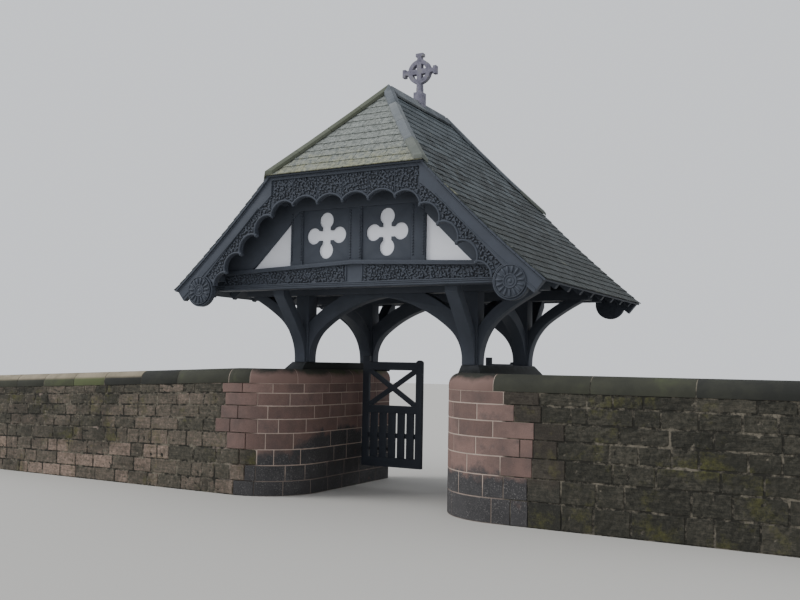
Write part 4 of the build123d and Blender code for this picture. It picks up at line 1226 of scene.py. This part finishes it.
def build_half_hips():
    """Slates and boards of both half-hips, cut along the hips."""
    gauge = bpy.context.scene.lychgate_roofing.hip_gauge
    for row, row_sign, seed in (("front", -1, 71), ("rear", 1, 77)):
        mesh, place, depth = lay_slates(hip_length, gauge, seed, -curve_half, curve_half)
        along = np.clip(place[:, 1], 0.0, hip_length + 0.2)
        y, z = on_hip(depth, along)
        settle(mesh, np.stack([place[:, 0], row_sign * y, z], 1))
        store(mesh, "moss", read(mesh, "moss") * 0.3 + np.clip(0.5 - along / hip_length, 0, 0.5) * 1.2)
        # the half-hips' paler tone, partly weathering and partly painted sky light
        store(mesh, "weathered_and_sky_lit", np.ones(len(place)))
        trimmed(mesh, hip_cuts(row_sign, 0.004))
        show(f"{row}_hip_slates", mesh, finish_of(slating), replaces=(f"{row}_half_hip",))
        heap = Heap()
        for i in range(int(hip_length / roof_board) + 1):
            low, high = i * roof_board + 0.002, min((i + 1) * roof_board - 0.002, hip_length)
            if high - low < 0.02:
                continue
            verts = []
            for y, z in [on_hip(depth, along) for along in (low, high) for depth in (0.0278, 0.0498)]:
                verts += [(x, row_sign * y, z) for x in (-curve_half, curve_half)]
            faces = [(0, 1, 3, 2), (4, 6, 7, 5), (0, 4, 5, 1), (2, 3, 7, 6), (0, 2, 6, 4), (1, 5, 7, 3)]
            heap.add(verts, faces)
        boards = trimmed(heap.mesh(recalculate=True), hip_cuts(row_sign, 0.012))
        show(f"{row}_hip_boarding", boards, oak("x"))


def lay_slabs(heap, source, start, end, chance, mosses, cuts=()):
    """Slabs cut from a run of ridge or hip between two points, after some other cuts."""
    way, length = (end - start).normalized(), (end - start).length
    for number, moss in enumerate(mosses):
        shape = source.copy()
        for cut in cuts:
            halved(shape, *cut)
        if number:
            halved(shape, start + way * (length * number / slab_count + slab_gap), -way)
        if number < slab_count - 1:
            halved(shape, start + way * (length * (number + 1) / slab_count - slab_gap), way)
        bevelled(shape, 0.004, 2, 30)
        heap.add_shape(shape, tone=float(chance.uniform()), moss=moss)


def build_ridge():
    """Ridge and hip slabs, cut to length from the frame's runs."""
    chance = np.random.default_rng(15)
    heap, source = Heap(), merged("ridge_tiles")
    end = Vector((0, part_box("ridge_tiles")[1].y, 0))
    lay_slabs(heap, source, -end, end, chance, [0.0] * slab_count)
    source.free()
    show("ridge_slabs", heap.mesh(), finish_of(ridge_stone), ROOT, ("ridge_tiles",), 40)
    heap, source = Heap(), merged("hip_tiles")
    for row_sign in (-1, 1):
        for side in (-1, 1):
            middle = (Vector((side * 0.0008, 0, 0)), Vector((-side, 0, 0)))
            own_half = (Vector((0, 0, 0)), Vector((0, -row_sign, 0)))
            # the left hips and every foot slab are mossy
            mosses = [0.8] * slab_count if side < 0 else [0.0] * (slab_count - 1) + [0.5]
            lay_slabs(heap, source, *hip_line(row_sign, side), chance, mosses, (middle, own_half))
    source.free()
    show("hip_slabs", heap.mesh(), finish_of(ridge_stone), ROOT, ("hip_tiles",), 40)


# Timbers
def build_timbers():
    """Posts, beams, plates, braces, rafters and purlins, with worn edges."""
    width = bpy.context.scene.lychgate_woodwork.chamfer
    rows, sides = ("front", "rear"), ("left", "right")
    for way, share, names in (
        ("z", 1, [f"{row}_{side}_post" for row in rows for side in sides]),
        ("x", 1, [f"{row}_cross_beam" for row in rows]),
        ("z", 1.4, [f"{name}_arch_braces" for name in rows + sides] + ["eaves_braces", "gable_braces"]),
        ("y", 1, ["wall_plates", "eaves_plates", "purlins", "ridge_beam"]),
        ("y", 0.6, ["hip_rafters"]),
    ):
        for name in names:
            softened(name, width * share, oak(way))
    for side in sides:
        softened(f"{side}_sill", width * 1.5, finish_of(sill_oak))
    softened("common_rafters", 0.005, oak("x"), angle=50, segments=1)


# Carving
def leaf_shape(kind):
    """A carved ornament about one unit long, lying in XZ and standing out along -Y."""
    rim, sunk_rings, rings = {
        "leaf": (12, 3, ((1.0, 0.0), (0.98, -0.05), (0.74, -0.07), (0.68, -0.34), (0.34, -0.46))),
        "curl": (9, 3, ((1.0, 0.0), (0.98, -0.05), (0.7, -0.07), (0.62, -0.4), (0.36, -0.52))),
        "petal": (8, 1, ((1.0, 0.0), (0.92, -0.5), (0.5, -0.72))),
        "bead": (8, 1, ((1.0, 0.0), (0.88, -0.26), (0.48, -0.43))),
    }[kind]
    verts = []
    for ring, (scale, lift) in enumerate(rings):
        for angle in (2 * pi * k / rim for k in range(rim)):
            if kind == "leaf":
                lobe = cos(3 * angle)
                reach = scale * (0.5 + (0.17 * lobe if ring > 1 else 0))
                point = (reach * sin(angle), lift - 0.05 * lobe * (ring > 2), reach * cos(angle))
            elif kind == "curl":
                bend = 0.16 * cos(angle) * abs(cos(angle)) if ring > 1 else 0
                wide = 0.32 if ring > 1 else 0.48
                point = (scale * wide * sin(angle) + bend, lift, scale * 0.55 * cos(angle))
            elif kind == "petal":
                z = 0.5 * cos(angle)
                point = (scale * 0.13 * sin(angle) * (1.0 + 0.8 * z), lift, scale * z + 0.5)
            else:
                point = (scale * 0.5 * sin(angle), lift, scale * 0.5 * cos(angle))
            verts.append(point)
    verts.append((0, rings[-1][1] + (0.14 if kind == "leaf" else -0.05), 0.5 if kind == "petal" else 0.0))
    faces = hoops(len(rings), rim)
    last = (len(rings) - 1) * rim
    faces += [(last + k, last + (k + 1) % rim, last + rim) for k in range(rim)]
    faces.append(tuple(range(rim))[::-1])
    heap = Heap()
    heap.add(verts, faces, sunk=np.arange(len(verts)) < sunk_rings * rim)
    return bpy.data.objects.new(f"{kind}_pattern", heap.mesh(recalculate=True))


def on_face(row_sign, face, side=1):
    """A function that puts (x, z, proud) on a carved face of one row, on one side of the gate."""
    return lambda x, z, proud=0.0: (side * x, row_sign * (face + proud), z)


def facing(way, row_sign):
    """Euler turn that points an ornament's length along way and its back to the board."""
    out = Vector((0, row_sign, 0))
    across = way.cross(out)
    turn = Matrix((across, -out, way)).transposed()
    if turn.determinant() < 0:
        turn = Matrix((-across, -out, way)).transposed()
    return tuple(turn.to_euler())


def ornaments(kind, places, sizes, turns, seed, uneven=0.12):
    """Ornaments of one kind on all their points, as one mesh."""
    pattern = leaf_shape(kind)
    inputs = {"Ornament": pattern, "Uneven": uneven, "Seed": seed, "Material": oak("carved")}
    mesh = set_out(ornament_tree, places, sizes, inputs, turns)
    bpy.data.objects.remove(pattern)
    return settle(mesh)


def strew(heap, inside, low, high, place, row_sign, seed, height=0.5):
    """Carve a field of curled leaves on a face, wherever inside says so, none too close."""
    leaf = bpy.context.scene.lychgate_woodwork.leaf
    gap = leaf * 0.66
    chance = np.random.default_rng(seed)
    tries = int(14 * (high[0] - low[0]) * (high[1] - low[1]) / gap**2)
    points = []
    for x, z in chance.uniform(low, high, (tries, 2)):
        if inside(x, z) and all(hypot(x - a, z - b) > gap for a, b in points):
            points.append((float(x), float(z)))
    kinds = chance.random(len(points)) < 0.6
    for kind, chosen in (("leaf", kinds), ("curl", ~kinds)):
        spots = [place(*point) for point, own in zip(points, chosen) if own]
        sizes = [(s, s * height, s) for s in leaf * chance.uniform(0.85, 1.2, len(spots))]
        leans = chance.uniform(0, 2 * pi, len(spots))
        turns = [facing(Vector((sin(a), 0, cos(a))), row_sign) for a in leans]
        heap.add_mesh(ornaments(kind, spots, sizes, turns, seed))


def add_scallops(heap, place, stretches, count=15):
    """Rolls round some scallops, given as start, end and hollow; returns the scallops' circles."""
    roll = bpy.context.scene.lychgate_woodwork.roll
    for stretch in stretches:
        heap.add_bar([place(x, z) for x, z in arc_through(*stretch, count, roll)], roll)
    return [circle_through(*arc_through(*stretch, 3)) for stretch in stretches]


def clear_of(x, z, rounds):
    """Whether a leaf stands clear of all scallops and their rolls."""
    reach = 2 * bpy.context.scene.lychgate_woodwork.roll + carving_gap
    return all(hypot(x - a, z - b) > radius + reach for a, b, radius in rounds)


def show_carving(name, mesh):
    """Show carved work on a board, beam or stud."""
    show(name, mesh, oak("carved"), smooth=50)


cusps = [point_on_slope(cusp_depth, lowest_cusp + n * cusp_pitch) for n in range(4)]
joint_x, joint_z = cusps[-1]


def carve_board(row, row_sign, side_name, side):
    """Rolls, leaves and roundel of one raking board."""
    petals = bpy.context.scene.lychgate_woodwork.petals
    place = on_face(row_sign, board_face, side)
    heap = Heap()
    stretches = [(upper, lower, scallop_rise) for lower, upper in zip(cusps[:-2], cusps[1:-1])]
    stretches.append(((joint_x + 0.001, joint_z), cusps[-2], scallop_rise))
    rounds = add_scallops(heap, place, stretches)
    neck = point_on_slope(cusp_depth, roundel_along + roundel_radius)
    rounds += add_scallops(heap, place, [(cusps[0], neck, scallop_rise / 2)], 11)
    for x, z in cusps[:-1]:
        heap.add_ball(place(x, z, -0.012), 0.021, 0.021)
    hub_x, hub_z = point_on_slope(roundel_depth, roundel_along)
    rounds.append((hub_x, hub_z, roundel_radius))
    for radius, bar, proud in (
        (roundel_radius - 0.014, 0.013, 0.004),
        (0.176, 0.007, 0.025),
        (0.074, 0.008, 0.026),
        (0.046, 0.006, 0.026),
    ):
        angles = np.linspace(0, 2 * pi, 49)[:-1]
        ring = [place(hub_x + radius * cos(a), hub_z + radius * sin(a), proud) for a in angles]
        heap.add_bar(ring, bar, closed=True)
    heap.add_ball(place(hub_x, hub_z, 0.022), 0.024, 0.014)
    fascia_foot = fascia_top + fascia_depth - fascia_cut
    for depth, bar, end in ((fascia_top + 0.012, 0.009, 1.75), (fascia_foot - 0.01, 0.008, 1.66)):
        points = zip(*on_slope(depth, np.linspace(0.035, end, 40)))
        heap.add_bar([place(x, z, fascia_proud) for x, z in points], bar, 6)
    edge = fascia_foot + carving_gap

    def inside(x, z):
        depth = hypot(x - curve_x, z - curve_z) - curve_radius
        along = (eaves_angle - atan2(z - curve_z, x - curve_x)) * curve_radius
        return (
            edge <= depth <= cusp_depth - carving_gap
            and along >= roundel_along
            and x >= joint_x + carving_gap
            and clear_of(x, z, rounds)
        )

    corners = [on_slope(depth, along) for depth in (edge, cusp_depth) for along in (roundel_along, 1.9)]
    low, high = np.min(corners, 0), np.max(corners, 0)
    strew(heap, inside, low, high, place, row_sign, 40 + side + 2 * row_sign)
    leans = [2 * pi * (k + 0.5) / petals for k in range(petals)]
    places = [place(hub_x + petal_reach * sin(a), hub_z + petal_reach * cos(a), 0.0215) for a in leans]
    turns = [facing(Vector((side * sin(a), 0, cos(a))), row_sign) for a in leans]
    heap.add_mesh(ornaments("petal", places, [(0.115, 0.026, 0.092)] * petals, turns, 5, 0.0))
    show_carving(f"{row}_{side_name}_board_carving", heap.mesh())


def carve_hip_board(row, row_sign):
    """Rolls, mouldings and leaves of the level board under a half-hip."""
    place = on_face(row_sign, board_face)
    heap = Heap()
    stops = [(n * hip_cusp_pitch, hip_cusp_height) for n in range(-2, 3)]
    stretches = [(a, b, hip_scallop_rise) for a, b in zip(stops[:-1], stops[1:])]
    stretches.append(((-joint_x + 0.001, joint_z), stops[0], scallop_rise))
    stretches.append((stops[-1], (joint_x - 0.001, joint_z), scallop_rise))
    rounds = add_scallops(heap, place, stretches)
    for x, z in stops + [(-joint_x, joint_z), (joint_x, joint_z)]:
        heap.add_ball(place(x, z, -0.012), 0.02, 0.021)
    top = hip_height(slope_thick, board_face)
    low = top - hip_fascia
    reach = joint_x - 0.02
    for height, bar in ((top - 0.014, 0.009), (top - 0.05, 0.006), (low + 0.008, 0.008)):
        heap.add_bar([place(x, height, fascia_proud) for x in (-reach, 0, reach)], bar, 6)
    for x, z in stops:
        heap.add_bar([place(x, height, 0.004) for height in (z + 0.06, low - 0.006)], 0.007, 6)

    def inside(x, z):
        if abs(x) > joint_x - 0.022 or z > low - 0.016 or z < hip_cusp_height + 0.03:
            return False
        return all(abs(x - stop[0]) >= 0.02 for stop in stops) and clear_of(x, z, rounds)

    strew(heap, inside, (-joint_x, joint_z), (joint_x, low), place, row_sign, 60)
    show_carving(f"{row}_hip_board_carving", heap.mesh())


def carve_tie_beam(row, row_sign):
    """Frieze of leaves, capping and base mouldings of a tie beam."""
    place = on_face(row_sign, tie_face)
    heap = Heap()
    base, cap = tie_bottom + tie_base, tie_top - tie_cap
    ends = (-tie_half + 0.01, 0, tie_half - 0.01)

    def inside(x, z):
        return 0.145 < abs(x) < 2.02 and base + 0.017 < z < cap - abs(x) * tie_camber - 0.02

    strew(heap, inside, (-2.05, tie_bottom), (2.05, tie_top), place, row_sign, 80, 0.45)
    for x in (-0.115, 0.115):
        heap.add_bar([place(x, z) for z in (base + 0.01, cap - 0.012)], 0.012)
    for height, proud, bar in ((0.014, 0.02, 0.01), (0.038, 0.02, 0.008), (0.06, 0.018, 0.01)):
        heap.add_bar([place(x, tie_bottom + height, proud) for x in ends], bar, 6)
    heap.add_bar([place(x, cap - abs(x) * tie_camber + 0.006, 0.026) for x in ends], 0.01, 6)
    show_carving(f"{row}_tie_beam_carving", heap.mesh())


def bead_studs(row, row_sign):
    """Rows of beads down the studs of a gable panel."""
    place = on_face(row_sign, tie_face - 0.008)
    edge = stud_width / 2 - 0.022
    heights = np.arange(3.02, rail_bottom - 0.02, bead_pitch)
    lines = [x + sign * edge for x in (-stud_x, 0.0, stud_x) for sign in (-1, 1)]
    places = [place(x, z) for x in lines for z in heights]
    turns = [facing(Vector((0, 0, 1)), row_sign)] * len(places)
    sizes = [(bead_size,) * 3] * len(places)
    show_carving(f"{row}_stud_beads", ornaments("bead", places, sizes, turns, 9, 0.05))


def build_carving():
    """All carved work on the boards, tie beams and studs of both gables."""
    for row, row_sign in (("front", -1), ("rear", 1)):
        carve_board(row, row_sign, "left", -1)
        carve_board(row, row_sign, "right", 1)
        carve_hip_board(row, row_sign)
        carve_tie_beam(row, row_sign)
        bead_studs(row, row_sign)


def slimmed_bargeboard(name, side):
    """A raking board whose fascia is slimmed, to leave the carving more room."""
    shape = merged(name)
    taper, full = 0.53, 0.15
    for vert in shape.verts:
        x, z = side * vert.co.x - curve_x, vert.co.z - curve_z
        angle = atan2(z, x)
        along = (eaves_angle - angle) * curve_radius
        if abs(hypot(x, z) - curve_radius - fascia_top - fascia_depth) > 0.0005 or along < taper:
            continue
        slim = fascia_cut * min(1, (along - taper) / full)
        if abs(side * vert.co.x - joint_x) < 0.002:
            vert.co.z -= slim / sin(angle)
        else:
            vert.co.x -= side * slim * cos(angle)
            vert.co.z -= slim * sin(angle)
    return shape


def build_gables():
    """Boards, panels, studs, rails and plaster of both gables."""
    width = bpy.context.scene.lychgate_woodwork.chamfer
    for row in ("front", "rear"):
        for name, side in ((f"{row}_left_bargeboard", -1), (f"{row}_right_bargeboard", 1)):
            shape = slimmed_bargeboard(name, side)
            softened(name, 0.005, oak("carved"), angle=50, shape=shape)
        softened(f"{row}_hip_board", 0.005, oak("carved"), angle=50)
        softened(f"{row}_tie_beam", 0.006, oak("x"))
        softened(f"{row}_gable_frame", width * 0.6, oak("x"), angle=50)
        softened(f"{row}_gable_studs", width * 0.6, oak("z"))
        softened(f"{row}_gable_boards", 0.004, oak("z"), angle=50)
        nodes[f"{row}_gable_infill"].data.materials.clear()
        nodes[f"{row}_gable_infill"].data.materials.append(finish_of(plaster))


def build_cross():
    """The wheel-head cross on its saddle, drawn in to the slimmer arms and block of the photo."""
    shape = merged("ridge_cross")
    centre, ridge = cross_top - cross_half, cross_top - cross_height
    block, arm, wheel, shaft = 0.72, 0.66, 0.19, 0.039
    for vert in shape.verts:
        x, y, z = vert.co
        if z < centre - cross_half + 0.01 and abs(y) > 0.06:
            # the block narrows, and its saddle stays on the ridge
            x, y = x * block, y * block
            if z < centre - cross_half - 0.01:
                z = ridge + (z - ridge) * block
        elif z < centre - wheel:
            x = max(-shaft, min(shaft, x))
        elif abs(x) > wheel:
            x = (wheel + (abs(x) - wheel) * arm) * (1 if x > 0 else -1)
            z = centre + (z - centre) * 0.76
        if z > centre + wheel:
            x, z = x * 0.76, centre + wheel + (z - centre - wheel) * arm
        vert.co = (x, y, z)
    softened("ridge_cross", 0.008, finish_of(cross_stone), ROOT, 50, 3, shape)


def build_gates():
    """Both leaves with their ironwork, and the pintles in the walls."""
    black = oak("z", 0.6, "blackened_oak")
    for side in ("left", "right"):
        body = f"{side}_leaf"
        softened(f"{side}_gate_frame", 0.005, black, body, 50)
        softened(f"{side}_gate_pales", 0.003, black, body)
        softened(f"{side}_gate_hinges", 0.0015, finish_of(iron), body, 50)
    softened("gate_pintles", 0.0015, finish_of(iron), angle=50)


def build_stage():
    """Pale floor, soft light and the camera."""
    scene = bpy.context.scene

    def put(name, data):
        made = bpy.data.objects.new(name, data)
        scene.collection.objects.link(made)
        return made

    scene.world = bpy.data.worlds.new("studio")
    scene.world.use_nodes = True
    sky = scene.world.node_tree.nodes["Background"].inputs
    sky["Color"].default_value = rgba("#F2F5FA")
    sky["Strength"].default_value = 1.0
    sun = bpy.data.lights.new("soft_key", "SUN")
    sun.energy = 2.2
    sun.angle = radians(28)
    put("soft_key", sun).rotation_euler = Vector((-0.8, -0.42, 0.62)).to_track_quat("Z", "Y").to_euler()
    heap = Heap()
    reach = 60
    heap.add([(-reach, -reach, 0), (reach, -reach, 0), (reach, reach, 0), (-reach, reach, 0)], [(0, 1, 2, 3)])
    floor = put("floor", heap.mesh())
    made, place = shader("pale_studio_floor", 0.9)
    made.node_tree.nodes["Principled BSDF"].inputs["Base Color"].default_value = rgba("#B9B7B2")
    floor.data.materials.append(made)
    camera = bpy.data.cameras.new("view")
    camera.sensor_width = 36
    camera.lens = 891.604 / 800 * 36
    camera.clip_end = 300
    yaw, pitch, roll = 0.506, 0.0712, 0.0182
    ahead = Vector((-sin(yaw) * cos(pitch), cos(yaw) * cos(pitch), sin(pitch)))
    right = Vector((cos(yaw), sin(yaw), 0))
    up = right.cross(ahead)
    right, up = right * cos(roll) + up * sin(roll), up * cos(roll) - right * sin(roll)
    turn = Matrix((right, up, -ahead)).transposed()
    scene.camera = put("view", camera)
    scene.camera.matrix_world = Matrix.Translation((5.740, -10.822, 1.733)) @ turn.to_4x4()


class LYCHGATE_OT_stage(bpy.types.Operator):
    """Add the floor, the light and the camera"""

    bl_idname = "lychgate.stage"
    bl_label = "Stage"

    def execute(self, context):
        build_stage()
        return {"FINISHED"}


class LYCHGATE_OT_walls(bpy.types.Operator):
    """Lay both sandstone walls in courses"""

    bl_idname = "lychgate.walls"
    bl_label = "Walls"

    def execute(self, context):
        build_walls()
        return {"FINISHED"}


class LYCHGATE_OT_copings(bpy.types.Operator):
    """Cut and lay the coping stones"""

    bl_idname = "lychgate.copings"
    bl_label = "Copings"

    def execute(self, context):
        build_copings()
        return {"FINISHED"}


class LYCHGATE_OT_timbers(bpy.types.Operator):
    """Dress the posts, beams, braces, plates and rafters"""

    bl_idname = "lychgate.timbers"
    bl_label = "Timbers"

    def execute(self, context):
        build_timbers()
        return {"FINISHED"}


class LYCHGATE_OT_slopes(bpy.types.Operator):
    """Slate both long slopes"""

    bl_idname = "lychgate.slopes"
    bl_label = "Slopes"

    def execute(self, context):
        build_slopes()
        return {"FINISHED"}


class LYCHGATE_OT_half_hips(bpy.types.Operator):
    """Slate both half-hips"""

    bl_idname = "lychgate.half_hips"
    bl_label = "Half-hips"

    def execute(self, context):
        build_half_hips()
        return {"FINISHED"}


class LYCHGATE_OT_ridge(bpy.types.Operator):
    """Lay the ridge and hip slabs"""

    bl_idname = "lychgate.ridge"
    bl_label = "Ridge and hips"

    def execute(self, context):
        build_ridge()
        return {"FINISHED"}


class LYCHGATE_OT_gables(bpy.types.Operator):
    """Dress the boards, panels and plaster of both gables"""

    bl_idname = "lychgate.gables"
    bl_label = "Gables"

    def execute(self, context):
        build_gables()
        return {"FINISHED"}


class LYCHGATE_OT_carving(bpy.types.Operator):
    """Carve the bargeboards, tie beams and studs"""

    bl_idname = "lychgate.carving"
    bl_label = "Carving"

    def execute(self, context):
        build_carving()
        return {"FINISHED"}


class LYCHGATE_OT_cross(bpy.types.Operator):
    """Set the cross on the ridge"""

    bl_idname = "lychgate.cross"
    bl_label = "Cross"

    def execute(self, context):
        build_cross()
        return {"FINISHED"}


class LYCHGATE_OT_gates(bpy.types.Operator):
    """Hang both gates"""

    bl_idname = "lychgate.gates"
    bl_label = "Gates"

    def execute(self, context):
        build_gates()
        return {"FINISHED"}


operators = (
    LYCHGATE_OT_stage,
    LYCHGATE_OT_walls,
    LYCHGATE_OT_copings,
    LYCHGATE_OT_timbers,
    LYCHGATE_OT_slopes,
    LYCHGATE_OT_half_hips,
    LYCHGATE_OT_ridge,
    LYCHGATE_OT_gables,
    LYCHGATE_OT_carving,
    LYCHGATE_OT_cross,
    LYCHGATE_OT_gates,
)


class LYCHGATE_PT_panel(bpy.types.Panel):
    """Sizes, colours and builders of the lychgate"""

    bl_idname = "LYCHGATE_PT_panel"
    bl_label = "Lychgate"
    bl_space_type = "VIEW_3D"
    bl_region_type = "UI"
    bl_category = "Lychgate"

    def draw(self, context):
        for group in (
            context.scene.lychgate_stonework,
            context.scene.lychgate_roofing,
            context.scene.lychgate_woodwork,
        ):
            box = self.layout.box()
            for key in group.__annotations__:
                box.prop(group, key)
        for made in operators:
            self.layout.operator(made.bl_idname)


groups = (
    ("lychgate_stonework", LychgateStonework),
    ("lychgate_roofing", LychgateRoofing),
    ("lychgate_woodwork", LychgateWoodwork),
)


def register():
    for name, kind in groups:
        bpy.utils.register_class(kind)
        setattr(bpy.types.Scene, name, PointerProperty(type=kind))
    for made in (*operators, LYCHGATE_PT_panel):
        bpy.utils.register_class(made)


def unregister():
    for made in reversed((*operators, LYCHGATE_PT_panel)):
        bpy.utils.unregister_class(made)
    for name, kind in reversed(groups):
        delattr(bpy.types.Scene, name)
        bpy.utils.unregister_class(kind)


def main():
    """Build the whole lychgate."""
    register()
    for made in operators:
        getattr(bpy.ops.lychgate, made.bl_idname.split(".")[1])()


if __name__ == "__main__":
    main()
